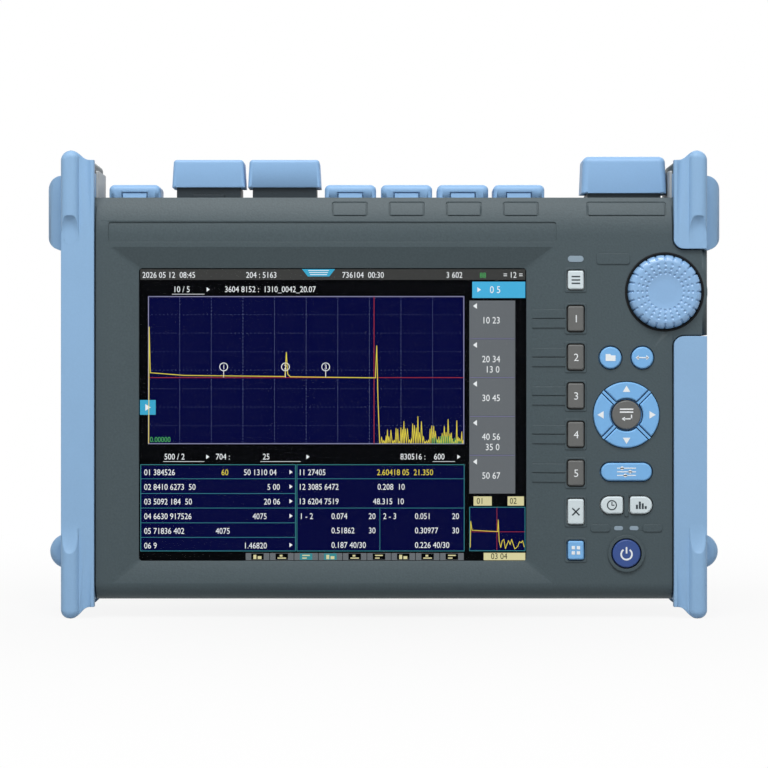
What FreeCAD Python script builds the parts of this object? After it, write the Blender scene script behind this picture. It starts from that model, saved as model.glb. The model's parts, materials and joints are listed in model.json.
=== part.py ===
import FreeCAD, Part
import math
import os
from FreeCAD import Vector

# Optical time domain reflectometer, bench and field instrument, millimetres.
# x runs to the right, y from the front face to the back, z up.
# The guards stand on z = 0 and the instrument is centred on x = 0 and y = 0.

os.makedirs("parts", exist_ok=True)

# Case
case_depth = 72.0
case_bottom = 8.1           # underside above the table
shoulder_z = 187.3          # top edge of the front face
wall = 2.5
guard_seam = 0.7            # open line between the face and a guard
flank_reach = 8.9           # flanks beyond the edges of the front face, under the guards
flank_step = 3.0            # and this far behind the face, under the guards' lips
band_height = 10.3          # leaning band along the top of the face
band_setback = 4.5
toe_radius = 7.5
heel_radius = 6.0
seam_y = 2.0                # joint between the front and rear shells
cheek_rise = 16.7           # cheeks above the shoulder
cheek_offset = 1.1          # inner faces of the cheeks beyond the edges of the front face
cheek_round = 2.4

# Guards
guard_side = 6.5            # rubber outside the flank
guard_lip = 1.5             # rubber proud of the front and back faces
guard_cap = 2.4             # rubber over the outer part of the cheek
guard_cap_round = 1.4
lip_flat = 1.3              # level ends of a lip beside the face
lip_foot_z = 5.1            # foot of a lip, at the edge of the face
lip_drop = 0.4              # top of a lip below the cheek
guard_base_z = 4.5          # underside between the corner ridges
guard_corner = 4.0
ridge_width = 8.2
ridge_proud = 2.5           # corner ridge beyond the guard's flat face
ridge_length = 10.0         # how far a ridge reaches back from its front
ridge_rise = 3.8            # ridge above the cheek
ridge_round = 3.3           # round the front of the ridge
ridge_crown = 4.5           # its corners, seen from the front
ridge_shoulder = 3.6
ridge_heel = 3.8
valley_radius = 3.2         # hollow between a ridge and the face, which fades out along the guard
valley_depth = 1.2
valley_offset = 2.4         # its middle inside the ridge
valley_tip = 2.3            # its far end, from the edge of the face
valley_length = 45.0
relief_low_z = 29.0         # the ridge is cut back between these heights
relief_high_z = 178.8
relief_run = 13.0
hump_proud = 8.2
hump_depth = 46.0
hump_height = 33.5
hump_drop = 6.2             # top of the upper lobe below the top of the cheek
hump_round = 7.0
heel_hump_z = 28.4
heel_hump_radius = 7.8
heel_hump_depth = 36.0
heel_hump_round = 4.0
grip_rib_proud = 0.5
grip_rib_width = 3.0
grip_rib_pitch = 11.6
grip_rib_low_z = 55.0
grip_rib_count = 9
grip_rib_front = -26.0
grip_rib_length = 12.0

# Knob pod, which takes the place of the guard beside the knob
pod_proud = 15.8            # pod beyond the edge of the front face
pod_below = 19.1            # pod under and over the middle of the knob
pod_above = 18.7
pod_back_y = -8.0
pod_root = 8.5              # room in the pod opens this far inside the edge of the face
pod_round = 2.6
pod_flare = 5.4             # hollow corners where the pod leaves the face
pod_gap = 0.5

# Knob and its encoder
knob_inset = 3.4            # middle of the knob inside the edge of the front face
knob_z = 145.0
knob_radius = 16.4
knob_well_radius = 17.6
knob_well_depth = 9.0
knob_well_wall = 1.5
knob_well_floor = 2.0
knob_front_y = -39.9
knob_press = 0.6            # travel of the knob and of its switch
knob_skirt_spare = 2.2      # under the skirt with the knob pressed
knob_dish_radius = 7.5
knob_dish_depth = 0.8
knob_rim_radius = 13.6
knob_rim_round = 2.6
knob_hollow_radius = 14.0
knob_hollow_depth = 6.0
knob_boss_radius = 5.0
knob_scallop_count = 24
knob_scallop_radius = 0.75
shaft_radius = 3.0
shaft_seat = 5.5            # shaft length inside the knob
running_gap = 0.05
bushing_radius = 4.5
bushing_gap = 0.1
bushing_length = 3.4
encoder_size = 12.4
encoder_depth = 8.0
encoder_wall = 1.2
plunger_radius = 3.6
plunger_depth = 1.6

# Screen
screen_z = 90.5
screen_width = 172.7
screen_height = 130.5
screen_margin = 6.25        # left edge of the front face to the recess
bezel_left = 12.6
bezel_right = 12.9
bezel_top = 9.3
bezel_bottom = 9.6
bezel_drop = 3.0
bezel_edge = 1.2
bezel_frame = 2.0
bezel_corner = 1.5
glass_margin = 3.0
glass_thickness = 1.6
gasket_thickness = 0.5
gasket_width = 2.4
lcd_margin = 5.5
lcd_thickness = 6.7

# Keys
keypad_width = 51.75        # recess to the right edge of the front face
key_travel = 1.0
key_proud = 1.2
key_gap = 0.6
key_flange = 0.9
key_flange_thickness = 1.2
key_stem_depth = 0.8        # from the flange to the dome
key_chamfer = 0.45
key_rim_width = 0.7         # raised rim round each opening
key_rim_height = 0.25
column_inset = 42.9         # middle of the key column inside the right edge of the face
column_top_z = 150.3
column_pitch = 17.15
column_key_width = 7.0
column_key_corner = 0.9
short_key_height = 8.2
tall_key_height = 11.1
cluster_inset = 20.4        # middle of the round keys and the arrow keys
round_key_spacing = 14.2
round_key_z = 115.8
round_key_radius = 4.8
arrow_z = 90.4
arrow_outer_radius = 14.6
arrow_inner_radius = 7.4
arrow_rib = 1.2
arrow_rib_gap = 0.45
arrow_well_gap = 0.35
enter_radius = 6.45
enter_ring_gap = 0.25
enter_ring_depth = 1.5
enter_flange_drop = 0.8     # flange of the middle key behind the inside of the face
wide_key_z = 65.1
wide_key_width = 22.5
wide_key_height = 7.8
half_key_z = 50.3
half_key_height = 7.6
half_key_width = 9.8
half_key_spacing = 13.0
half_key_corner = 1.2
half_divider_width = 1.9
half_divider_height = 10.2
half_divider_proud = 0.5
power_z = 28.8
power_radius = 6.2
power_collar_radius = 8.2
power_collar_height = 0.9
dome_spare = 0.6            # dome height left with its key pressed
dome_radius = 3.0
dome_top_radius = 2.0
sheet_thickness = 1.0
sheet_margin = 0.6          # dome sheet inside the edge of the key board
board_thickness = 1.6
key_board_left = 6.8        # key board left of the key column
key_board_right = 14.8      # and right of the arrow keys
key_board_below = 9.6       # and under the power key
key_board_above = 3.2       # and over the upper lens
key_board_gap = 0.9         # between the key board and the knob's cup
board_peg_radius = 2.2
board_peg_step = 9.6        # pegs right of the key column
board_peg_rise = 6.9        # middle of a peg from the nearest keys
peg_gap = 0.4

# Marks pressed into the face, all left bare
name_left_margin = 5.5      # from the edges of the front face
name_right_margin = 51.5
name_low_z = 167.3
name_high_z = 176.2
name_depth = 0.5
name_corner = 1.1
tag_width = 15.8
tag_height = 7.2
tag_rise = 1.85             # lower edge above the foot of the leaning band
tag_depth = 0.5
tag_line = 0.7              # groove round a tag
tag_corner = 1.0
wide_tag_width = 35.3
wide_tag_inset = 2.5
guide_reach = 10.25         # pointers beside the F keys, down the slope of the recess
guide_height = 3.8
guide_split = 0.5
guide_proud = 0.4
pad_proud = 0.35            # bare raised pads
pad_round = 1.2
push_pad_width = 14.7
push_pad_height = 4.7
push_pad_step = 16.65       # right of the key column
lamp_pad_width = 8.6
lamp_pad_height = 3.2
lamp_pad_step = 11.6        # either side of the two lenses

# Indicator lenses
lamp_z = 40.0
lamp_spacing = 6.9
lamp_width = 4.0
lamp_height = 1.9
laser_lamp_z = 159.7
laser_lamp_width = 7.0
laser_lamp_height = 2.8
lens_proud = 0.15

# Top deck and its ports
deck_front_y = -28.4
deck_back_y = 32.4
deck_drop = 0.3             # deck surface below the shoulder
deck_thickness = 2.7
deck_ledge = 5.0            # under the deck at the front and back
deck_end_ledge = 2.6        # and at its ends
deck_fit = 0.15
liner_height = 12.6
liner_thickness = 1.2
liner_corner = 0.8
liner_gap = 0.4             # between a liner and the rear shell
port_y = -9.0               # middle of every port
supply_share = 0.163        # of the spare length between the cheeks, left of the supply cover
optical_share = 0.176       # left of the two optical covers
socket_share = 0.056        # left of the row of sockets
option_share = 0.545        # left of the option cover
post_radius = 2.5

# Port covers
cover_front_y = -18.0
cover_depth = 17.0
cover_wall = 1.6
cover_corner_step = 0.2     # upright corners of a cover rounder than its top
low_cover_width = 23.2
low_cover_height = 7.2
low_cover_round = 2.4
socket_pitch = 25.4
tab_width = 11.8            # finger recess at the foot of a low cover
tab_depth = 1.1
tab_height = 3.9
tab_line = 0.55             # open line round the tongue in the recess
tab_sink = 0.45             # tongue below the face of the cover
tall_cover_width = 33.0
tall_cover_height = 12.5
tall_cover_draft = 0.7
tall_cover_round = 1.5
optical_pitch = 34.3
neck_width = 28.8
neck_height = 6.0
neck_front_y = -16.5
neck_back_y = 5.5
neck_fit = 0.2
neck_bore_step = 0.6        # bore under an adapter, narrower than the adapter's barrel
neck_bore_depth = 4.0
foot_plate_proud = 1.2
foot_plate_height = 2.6
foot_plate_width = 14.0
option_width = 38.4
option_height = 16.6
option_round = 2.8
option_neck_width = 33.0
option_neck_height = 3.1
option_drop = 12.0          # option module below the deck
option_front_y = -22.0
option_neck_inset = 1.5     # neck behind the front of its cover
option_neck_tail = 1.0      # neck behind its hinge
option_rim = 2.0            # rim of the option module under the deck
option_rim_height = 4.0
hinge_radius = 1.9
hinge_bore = 0.8
hinge_gap = 0.3
hinge_barrel = 12.0
hinge_lug = 2.6

# Sockets
jack_radius = 5.0
jack_bore = 3.2
jack_pin = 0.9
jack_flange_radius = 5.6
jack_flange = 0.8
jack_depth = 10.5
usb_width = 13.2
usb_height = 5.8
usb_shell = 0.5
usb_tongue = 1.8
socket_depth = 14.0
usb_b_width = 12.0
usb_b_height = 10.9
usb_b_mouth_width = 8.5
usb_b_mouth_height = 7.8
usb_b_tongue_width = 5.6
usb_b_tongue_height = 3.2
ethernet_width = 16.0
ethernet_height = 13.6
ethernet_mouth_width = 11.8
ethernet_mouth_height = 7.0
ethernet_key_width = 6.0
ethernet_key_height = 2.6
ethernet_mouth_depth = 11.5
io_board_margin = 4.0
io_board_front = 9.0        # board before and behind the row of sockets
io_board_back = 11.0
adapter_flange = 11.0
adapter_flange_thickness = 1.6
adapter_radius = 4.0
adapter_height = 7.4
ferrule_radius = 1.25
ferrule_depth = 7.0
adapter_wall = 0.9
sleeve_radius = 2.2
sleeve_drop = 1.4

# Inner parts
chassis_thickness = 1.5
chassis_left_margin = 6.1   # chassis inside the edges of the front face
chassis_right_margin = 16.1
chassis_low_z = 26.0
chassis_high_z = 162.0
chassis_boss_radius = 3.0
chassis_boss_gap = 0.4      # between a boss and the display
chassis_boss_rise = 30.0    # from the lower and upper edges of the chassis
chassis_head_radius = 2.6
chassis_head_height = 1.6
standoff_radius = 2.6
standoff_length = 6.5
standoff_inset = 4.0        # from the edges of the main board
board_margin = 29.1         # main board inside the left edge of the front face
main_board_width = 190.0
main_board_low_z = 30.0
main_board_high_z = 114.0
processor_size = 32.0
processor_height = 2.4
memory_size = 18.0
memory_height = 1.6
memory_gap = 20.0           # between the processor and the memory
package_drop = 20.0         # processor below the top edge of the main board
converter_length = 24.0     # power converter near the foot of the board
converter_width = 14.0
converter_height = 4.0
converter_rise = 12.0
converter_step = 56.0       # either side of the middle of the board
module_back_y = 20.0
module_low_z = 122.0
module_side = 3.0           # module beyond the outer necks
column_edge = 8.1           # case screw columns from the edges of the front face
column_low_z = 20.0
column_high_z = 168.0
column_radius = 4.0
screw_radius = 1.4
screw_clearance = 0.4
screw_length = 44.0
head_radius = 3.0
head_height = 2.0
head_sink = 3.0
head_gap = 0.3
head_socket_radius = 1.2
head_socket_depth = 1.2
thread_depth = 14.0         # pilot hole in the front columns

# Battery and its cover
bay_margin = 24.1           # battery bay inside the left edge of the front face
bay_length = 80.0
bay_low_z = 26.0
bay_high_z = 76.0
bay_floor_y = 9.6
bay_wall = 1.6
battery_gap = 0.5
battery_cover_lip = 8.0
battery_cover_thickness = 2.0
battery_cover_gap = 0.25
battery_cover_corner = 3.0
battery_frame = 5.0
battery_screw_radius = 1.3
battery_head_radius = 2.8
battery_head = 1.2
battery_boss_radius = 3.4
battery_boss_length = 5.0

# Tilting stand on the back
stand_width = 112.0
stand_low_z = 98.0
stand_axis_z = 160.0
stand_thickness = 3.0
stand_sink = 0.2
stand_gap = 0.4
stand_pin_radius = 1.5
stand_barrel_radius = 2.4
stand_knuckle = 14.0
stand_lug = 16.0
stand_backing = 2.0
stand_pin_seat = 3.0
stand_scoop_radius = 9.0
stand_scoop_depth = 1.4

# Vent slots
vent_count = 9
vent_pitch = 8.0
vent_width = 2.6
vent_low_z = 30.0
vent_high_z = 64.0
vent_first_x = 28.0

# Places that follow from the sizes above
front_y = -case_depth / 2
back_y = case_depth / 2
recess_width = bezel_left + screen_width + bezel_right
face_x = (screen_margin + recess_width + keypad_width) / 2
flank_x = face_x + flank_reach
cheek_x = face_x + cheek_offset
cheek_top_z = shoulder_z + cheek_rise
ridge_top_z = cheek_top_z + ridge_rise
hump_high_z = cheek_top_z - hump_drop
hump_low_z = hump_high_z - hump_height
screen_x = -face_x + screen_margin + bezel_left + screen_width / 2
column_x = face_x - column_inset
cluster_x = face_x - cluster_inset
knob_x = face_x - knob_inset
pod_reach = face_x + pod_proud
pod_low_z = knob_z - pod_below
pod_high_z = knob_z + pod_above
optical_row = optical_pitch + tall_cover_width
socket_row = 3 * socket_pitch + low_cover_width
spare_length = 2 * cheek_x - low_cover_width - optical_row - socket_row - option_width
supply_x = -cheek_x + supply_share * spare_length + low_cover_width / 2
optical_left_x = supply_x + low_cover_width / 2 + optical_share * spare_length
optical_first_x = optical_left_x + tall_cover_width / 2
socket_left_x = optical_left_x + optical_row + socket_share * spare_length
socket_first_x = socket_left_x + low_cover_width / 2
option_x = socket_left_x + socket_row + option_share * spare_length + option_width / 2
bay_left = -face_x + bay_margin
bay_right = bay_left + bay_length
inner_front_y = front_y + wall
deck_z = shoulder_z - deck_drop
deck_floor_z = deck_z - deck_thickness
band_low_z = shoulder_z - band_height
glass_front_y = front_y + bezel_drop + bezel_edge
glass_back_y = glass_front_y + glass_thickness
lcd_front_y = glass_back_y + gasket_thickness
chassis_y = lcd_front_y + lcd_thickness
main_board_y = chassis_y + chassis_thickness + standoff_length
key_back_y = inner_front_y + key_flange_thickness + key_stem_depth
dome_height = key_travel + dome_spare
sheet_y = key_back_y + dome_height
board_y = sheet_y + sheet_thickness
well_floor_y = front_y + knob_well_depth
encoder_y = well_floor_y + knob_well_floor
skirt_y = well_floor_y - knob_press - knob_skirt_spare
main_board_x = -face_x + board_margin + main_board_width / 2


def box(x0, x1, y0, y1, z0, z1):
    return Part.makeBox(x1 - x0, y1 - y0, z1 - z0, Vector(x0, y0, z0))


def drum(radius, x, z, y0, y1):
    return Part.makeCylinder(radius, y1 - y0, Vector(x, y0, z), Vector(0, 1, 0))


def rod(radius, y, z, x0, x1):
    return Part.makeCylinder(radius, x1 - x0, Vector(x0, y, z), Vector(1, 0, 0))


def post(radius, x, y, z0, z1):
    return Part.makeCylinder(radius, z1 - z0, Vector(x, y, z0), Vector(0, 0, 1))


def fuse(shapes):
    whole = shapes[0].multiFuse(shapes[1:]) if len(shapes) > 1 else shapes[0]
    return whole.removeSplitter()


def rounded_wire(x0, x1, z0, z1, radius, y):
    """A rectangle in x and z at depth y, with round corners."""
    r = min(radius, (x1 - x0) / 2 - 0.01, (z1 - z0) / 2 - 0.01)
    turns = [(x1 - r, z0 + r, 270), (x1 - r, z1 - r, 0), (x0 + r, z1 - r, 90), (x0 + r, z0 + r, 180)]
    edges, last, first = [], None, None
    for cx, cz, start in turns:
        ends = [math.radians(start + step) for step in (0, 45, 90)]
        a, b, c = [Vector(cx + r * math.cos(t), y, cz + r * math.sin(t)) for t in ends]
        if last is None:
            first = a
        else:
            edges.append(Part.LineSegment(last, a).toShape())
        edges.append(Part.Arc(a, b, c).toShape())
        last = c
    edges.append(Part.LineSegment(last, first).toShape())
    return Part.Wire(edges)


def rounded_plate(x0, x1, z0, z1, radius, y0, y1):
    face = Part.Face(rounded_wire(x0, x1, z0, z1, radius, y0))
    return face.extrude(Vector(0, y1 - y0, 0))


def edges_at_y(shape, y):
    found = []
    for edge in shape.Edges:
        span = edge.BoundBox
        if abs(span.YMin - y) < 1e-4 and abs(span.YMax - y) < 1e-4:
            found.append(edge)
    return found


def edges_where(shape, test):
    """Edges whose two end points both pass the test."""
    return [e for e in shape.Edges if all(test(v.Point) for v in e.Vertexes)]


def side_outline(inset, top_z, lean):
    """The case seen from its side, drawn in from its faces by inset and closed at top_z."""
    toe = toe_radius - inset
    heel = heel_radius - inset
    front, back, low = front_y + inset, back_y - inset, case_bottom + inset
    half = math.sqrt(0.5)
    bend = Vector(0, front + lean * (top_z - band_low_z), top_z)
    corners = [Vector(0, front, low + toe), Vector(0, front, band_low_z), bend]
    corners += [Vector(0, back, top_z), Vector(0, back, low + heel)]
    edges = [Part.LineSegment(a, b).toShape() for a, b in zip(corners, corners[1:])]
    heel_mid = Vector(0, back - heel + heel * half, low + heel - heel * half)
    toe_mid = Vector(0, front + toe - toe * half, low + toe - toe * half)
    heel_end, toe_end = Vector(0, back - heel, low), Vector(0, front + toe, low)
    edges.append(Part.Arc(corners[-1], heel_mid, heel_end).toShape())
    edges.append(Part.LineSegment(heel_end, toe_end).toShape())
    edges.append(Part.Arc(toe_end, toe_mid, corners[0]).toShape())
    return Part.Wire(edges)


def side_block(inset, top_z, lean, reach):
    wire = side_outline(inset, top_z, lean)
    wire.translate(Vector(-reach, 0, 0))
    return Part.Face(wire).extrude(Vector(2 * reach, 0, 0))


def deck_bed():
    """Space over the seat of the port deck, between the cheeks."""
    return box(-cheek_x, cheek_x, deck_front_y, deck_back_y, deck_floor_z, cheek_top_z + 20)


def case_hull():
    """Outer form of both shells with the cheeks, before hollowing."""
    lean = band_setback / band_height
    face = side_block(0, shoulder_z, lean, face_x)
    flanks = side_block(flank_step, shoulder_z, 0, flank_x)
    hull = face.fuse(flanks).cut(deck_bed())
    for x0, x1 in ((-flank_x, -cheek_x), (cheek_x, flank_x)):
        hull = hull.fuse(cheek(x0, x1))
    return hull.removeSplitter()


def cheek(x0, x1):
    plate = box(x0, x1, front_y + flank_step, seam_y, deck_floor_z - wall, cheek_top_z)
    top = edges_where(plate, lambda p: p.z > cheek_top_z - 0.01 and abs(abs(p.x) - cheek_x) < 0.01)
    return plate.makeFillet(cheek_round, top)


def case_hollow():
    """The space inside both shells."""
    lean = band_setback / band_height
    room = side_block(wall, deck_floor_z - wall, lean, face_x - wall)
    flank_room = side_block(flank_step + wall, deck_floor_z - wall, 0, flank_x - wall)
    hatch = box(-face_x + deck_end_ledge, face_x - deck_end_ledge, deck_front_y + deck_ledge,
                deck_back_y - deck_ledge, deck_floor_z - wall - 1, deck_floor_z + 1)
    return room.fuse(flank_room).fuse(hatch)


def pod_outline(grow, reach, y):
    """The pod seen from the front, with hollow corners where it leaves the face, grown by grow."""
    low, high, edge = pod_low_z - grow, pod_high_z + grow, face_x + grow
    r = pod_flare - grow
    inner = face_x - wall
    hollow = r * (1 - math.sqrt(0.5))
    top = [Vector(edge, y, high + r), Vector(edge + hollow, y, high + hollow), Vector(edge + r, y, high)]
    foot = [Vector(edge + r, y, low), Vector(edge + hollow, y, low - hollow), Vector(edge, y, low - r)]
    runs = [(foot[2], Vector(inner, y, low - r)), (Vector(inner, y, low - r), Vector(inner, y, high + r)),
            (Vector(inner, y, high + r), top[0])]
    runs += [(top[2], Vector(reach, y, high)), (Vector(reach, y, high), Vector(reach, y, low)),
             (Vector(reach, y, low), foot[0])]
    edges = [Part.LineSegment(a, b).toShape() for a, b in runs[:3]]
    edges.append(Part.Arc(*top).toShape())
    edges += [Part.LineSegment(a, b).toShape() for a, b in runs[3:]]
    edges.append(Part.Arc(*foot).toShape())
    return Part.Wire(edges)


def pod_block():
    wire = pod_outline(0, pod_reach, front_y)
    block = Part.Face(wire).extrude(Vector(0, pod_back_y - front_y, 0))
    outer = edges_where(block, lambda p: p.x > pod_reach - 0.01 and p.y < front_y + 0.01)
    return block.makeFillet(pod_round, outer)


def pod_notch():
    """Room for the pod in the guard, open to the front and to the side."""
    start = front_y - 10
    wire = pod_outline(pod_gap, pod_reach + 10, start)
    return Part.Face(wire).extrude(Vector(0, pod_back_y + pod_gap - start, 0))


def knob_well():
    """Solid cup that holds the knob, and the room cut out of it."""
    cup = drum(knob_well_radius + knob_well_wall, knob_x, knob_z, front_y, encoder_y)
    room = drum(knob_well_radius, knob_x, knob_z, front_y - 1, well_floor_y)
    hole = drum(bushing_radius + bushing_gap, knob_x, knob_z, well_floor_y - 1, encoder_y + 1)
    return cup, room.fuse(hole)


def bezel_frame_block():
    x0 = screen_x - screen_width / 2 - bezel_left - bezel_frame
    x1 = screen_x + screen_width / 2 + bezel_right + bezel_frame
    z0 = screen_z - screen_height / 2 - bezel_bottom - bezel_frame
    z1 = screen_z + screen_height / 2 + bezel_top + bezel_frame
    return box(x0, x1, inner_front_y - 0.5, glass_front_y, z0, z1)


def bezel_cut():
    """Sloping sides of the screen recess and the window behind them."""
    x0, x1 = screen_x - screen_width / 2, screen_x + screen_width / 2
    z0, z1 = screen_z - screen_height / 2, screen_z + screen_height / 2
    outer = rounded_wire(x0 - bezel_left, x1 + bezel_right, z0 - bezel_bottom, z1 + bezel_top,
                         bezel_corner, front_y)
    inner = rounded_wire(x0, x1, z0, z1, bezel_corner, front_y + bezel_drop)
    funnel = Part.makeLoft([outer, inner], True, True)
    window = rounded_plate(x0, x1, z0, z1, bezel_corner, front_y + bezel_drop, glass_front_y + 1)
    return funnel.fuse(window)


def column_key_places():
    names = ["key_menu", "key_f1", "key_f2", "key_f3", "key_f4", "key_f5", "key_escape", "key_utility"]
    short = ("key_menu", "key_utility")
    places = []
    for i, name in enumerate(names):
        height = short_key_height if name in short else tall_key_height
        places.append((name, column_top_z - i * column_pitch, height))
    return places


def plate_about(x, z, width, height, corner, y0, y1, grow=0.0):
    w, h = width / 2 + grow, height / 2 + grow
    return rounded_plate(x - w, x + w, z - h, z + h, corner + grow, y0, y1)


def half_stadium(x, side, grow, y0, y1):
    """Key with one round end, on the side given by -1 or 1."""
    w, h = half_key_width / 2 + grow, half_key_height / 2 + grow
    round_x = x + side * (w - h)
    end = drum(h, round_x, half_key_z, y0, y1)
    flat_x = x - side * w
    x0, x1 = min(round_x, flat_x), max(round_x, flat_x)
    block = box(x0, x1, y0, y1, half_key_z - h, half_key_z + h)
    corner = half_key_corner + grow
    square = edges_where(block, lambda p: abs(p.x - flat_x) < 0.01)
    upright = [e for e in square if e.BoundBox.YLength > 0.01]
    return end.fuse(block.makeFillet(corner, upright)).removeSplitter()


def ring_sector(angle, inner, outer, y0, y1):
    """A quarter of the arrow ring, facing the angle given in degrees from +x."""
    ring = drum(outer, cluster_x, arrow_z, y0, y1).cut(drum(inner, cluster_x, arrow_z, y0 - 1, y1 + 1))
    reach = 2 * outer
    centre = Vector(cluster_x, y0, arrow_z)
    corners = [centre]
    for side in (-45, 45):
        t = math.radians(angle + side)
        corners.append(centre + Vector(reach * math.cos(t), 0, reach * math.sin(t)))
    wedge = Part.Face(Part.makePolygon(corners + corners[:1])).extrude(Vector(0, y1 - y0, 0))
    bars = arrow_bars(arrow_rib / 2 + arrow_rib_gap, reach, y0 - 1, y1 + 1)
    return ring.common(wedge).cut(bars)


def arrow_bars(half_width, reach, y0, y1):
    """Two bars that cross at 45 degrees on the middle of the arrow keys."""
    bars = []
    for turn in (45, 135):
        bar = box(-reach, reach, y0, y1, -half_width, half_width)
        bar.rotate(Vector(0, 0, 0), Vector(0, 1, 0), turn)
        bar.translate(Vector(cluster_x, 0, arrow_z))
        bars.append(bar)
    return bars[0].fuse(bars[1])


def key_forms():
    """Every key by name, as a function of how far its outline grows and its two depths."""
    forms = {}
    for name, z, height in column_key_places():
        forms[name] = lambda g, y0, y1, z=z, h=height: plate_about(
            column_x, z, column_key_width, h, column_key_corner, y0, y1, g)
    for name, side in (("key_file", -1), ("key_scale", 1)):
        x = cluster_x + side * round_key_spacing / 2
        forms[name] = lambda g, y0, y1, x=x: drum(round_key_radius + g, x, round_key_z, y0, y1)
    forms["key_setup"] = lambda g, y0, y1: plate_about(
        cluster_x, wide_key_z, wide_key_width, wide_key_height, wide_key_height / 2, y0, y1, g)
    for name, side in (("key_realtime", -1), ("key_average", 1)):
        x = cluster_x + side * half_key_spacing / 2
        forms[name] = lambda g, y0, y1, x=x, s=side: half_stadium(x, s, g, y0, y1)
    forms["key_power"] = lambda g, y0, y1: drum(power_radius + g, cluster_x, power_z, y0, y1)
    return forms


def make_key(form):
    """Cap through the face, with a flange that stops it from behind."""
    cap = form(0, front_y - key_proud, inner_front_y + key_flange_thickness)
    cap = cap.makeChamfer(key_chamfer, edges_at_y(cap, front_y - key_proud))
    flange = form(key_flange, inner_front_y, inner_front_y + key_flange_thickness)
    stem = form(0, inner_front_y + key_flange_thickness, key_back_y)
    return fuse([cap, flange, stem])


def make_arrow_key(angle):
    front = front_y - key_proud
    cap = ring_sector(angle, arrow_inner_radius, arrow_outer_radius, front, key_back_y)
    cap = cap.makeChamfer(key_chamfer, edges_at_y(cap, front))
    flange = ring_sector(angle, arrow_outer_radius - 1, arrow_outer_radius + arrow_well_gap + key_flange,
                         inner_front_y, inner_front_y + key_flange_thickness)
    return fuse([cap, flange])


def enter_ring_radii():
    inner = enter_radius + enter_ring_gap
    outer = arrow_inner_radius - enter_ring_gap
    return inner, outer


def make_enter_key():
    front = front_y - key_proud
    cap = drum(enter_radius, cluster_x, arrow_z, front, key_back_y)
    cap = cap.makeChamfer(key_chamfer, edges_at_y(cap, front))
    flange = drum(enter_ring_radii()[1], cluster_x, arrow_z, inner_front_y + enter_flange_drop, key_back_y)
    return fuse([cap, flange])


def make_arrow_divider():
    """Four ribs between the arrow keys, on a ring round the middle key, with feet behind the face."""
    inner, outer = enter_ring_radii()
    back = inner_front_y + enter_flange_drop
    foot = arrow_outer_radius + arrow_well_gap + 2 * key_flange
    ring = drum(outer, cluster_x, arrow_z, front_y + enter_ring_depth, back)
    hole = drum(inner, cluster_x, arrow_z, front_y - 2, back + 1)
    ribs = arrow_bars(arrow_rib / 2, foot, inner_front_y, back).cut(hole)
    shown = arrow_bars(arrow_rib / 2, foot, front_y - key_proud / 2, inner_front_y)
    shown = shown.common(drum(arrow_outer_radius + arrow_well_gap / 2, cluster_x, arrow_z,
                              front_y - 2, inner_front_y))
    shown = shown.cut(drum(outer - 0.05, cluster_x, arrow_z, front_y - 2, back + 1))
    return fuse([ring.cut(hole), ribs.cut(hole), shown])


def lens_pills(grow, y0, y1):
    sizes = [(cluster_x - lamp_spacing / 2, lamp_z, lamp_width, lamp_height),
             (cluster_x + lamp_spacing / 2, lamp_z, lamp_width, lamp_height),
             (column_x, laser_lamp_z, laser_lamp_width, laser_lamp_height)]
    return [plate_about(x, z, w, h, h / 2, y0, y1, grow) for x, z, w, h in sizes]


def face_cuts():
    """Everything cut into or through the front face."""
    y0, y1 = front_y - 3, inner_front_y + 1
    cuts = [form(key_gap, y0, y1) for form in key_forms().values()]
    cuts.append(drum(arrow_outer_radius + arrow_well_gap, cluster_x, arrow_z, y0, y1))
    cuts += lens_pills(0, y0, y1)
    cuts.append(rounded_plate(-face_x + name_left_margin, face_x - name_right_margin, name_low_z, name_high_z,
                              name_corner, front_y - 1, front_y + name_depth))
    cuts += tag_cuts()
    return cuts


def tag_cuts():
    """Grooves round the bare label places on the leaning band."""
    spans = [(socket_x(i) - tag_width / 2, socket_x(i) + tag_width / 2) for i in range(4)]
    spans.append((face_x - wide_tag_inset - wide_tag_width, face_x - wide_tag_inset))
    lean = math.degrees(math.atan2(band_setback, band_height))
    cuts = []
    for x0, x1 in spans:
        middle_z = band_low_z + tag_rise + tag_height / 2
        cut, plate = [plate_about((x0 + x1) / 2, middle_z, x1 - x0, tag_height, tag_corner, front_y - 1,
                                  front_y + depth, -inset)
                      for depth, inset in ((tag_depth, 0), (tag_depth + 1, tag_line))]
        cut = cut.cut(plate)
        cut.rotate(Vector(0, front_y, band_low_z), Vector(1, 0, 0), -lean)
        cuts.append(cut)
    return cuts


def face_details():
    """Raised work on the front face."""
    y0 = front_y
    details = []
    for name, z, height in column_key_places():
        w = column_key_width / 2 + key_gap + key_rim_width
        h = height / 2 + key_gap + key_rim_width
        details.append(rounded_plate(column_x - w, column_x + w, z - h, z + h, column_key_corner,
                                     y0 - key_rim_height, y0 + 1))
    details.append(drum(power_collar_radius, cluster_x, power_z, y0 - power_collar_height, y0 + 1))
    details.append(plate_about(cluster_x, half_key_z, half_divider_width, half_divider_height,
                               half_divider_width / 2, y0 - half_divider_proud, y0 + 1))
    details += [plate_about(x, z, width, height, pad_round, y0 - pad_proud, y0 + 1)
                for x, z, width, height in pad_places()]
    return details


def pad_places():
    """Middle and size of each bare raised pad: one beside the knob, two beside the small lenses."""
    places = [(column_x + push_pad_step, laser_lamp_z, push_pad_width, push_pad_height)]
    places += [(cluster_x + side * lamp_pad_step, lamp_z, lamp_pad_width, lamp_pad_height)
               for side in (-1, 1)]
    return places


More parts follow.
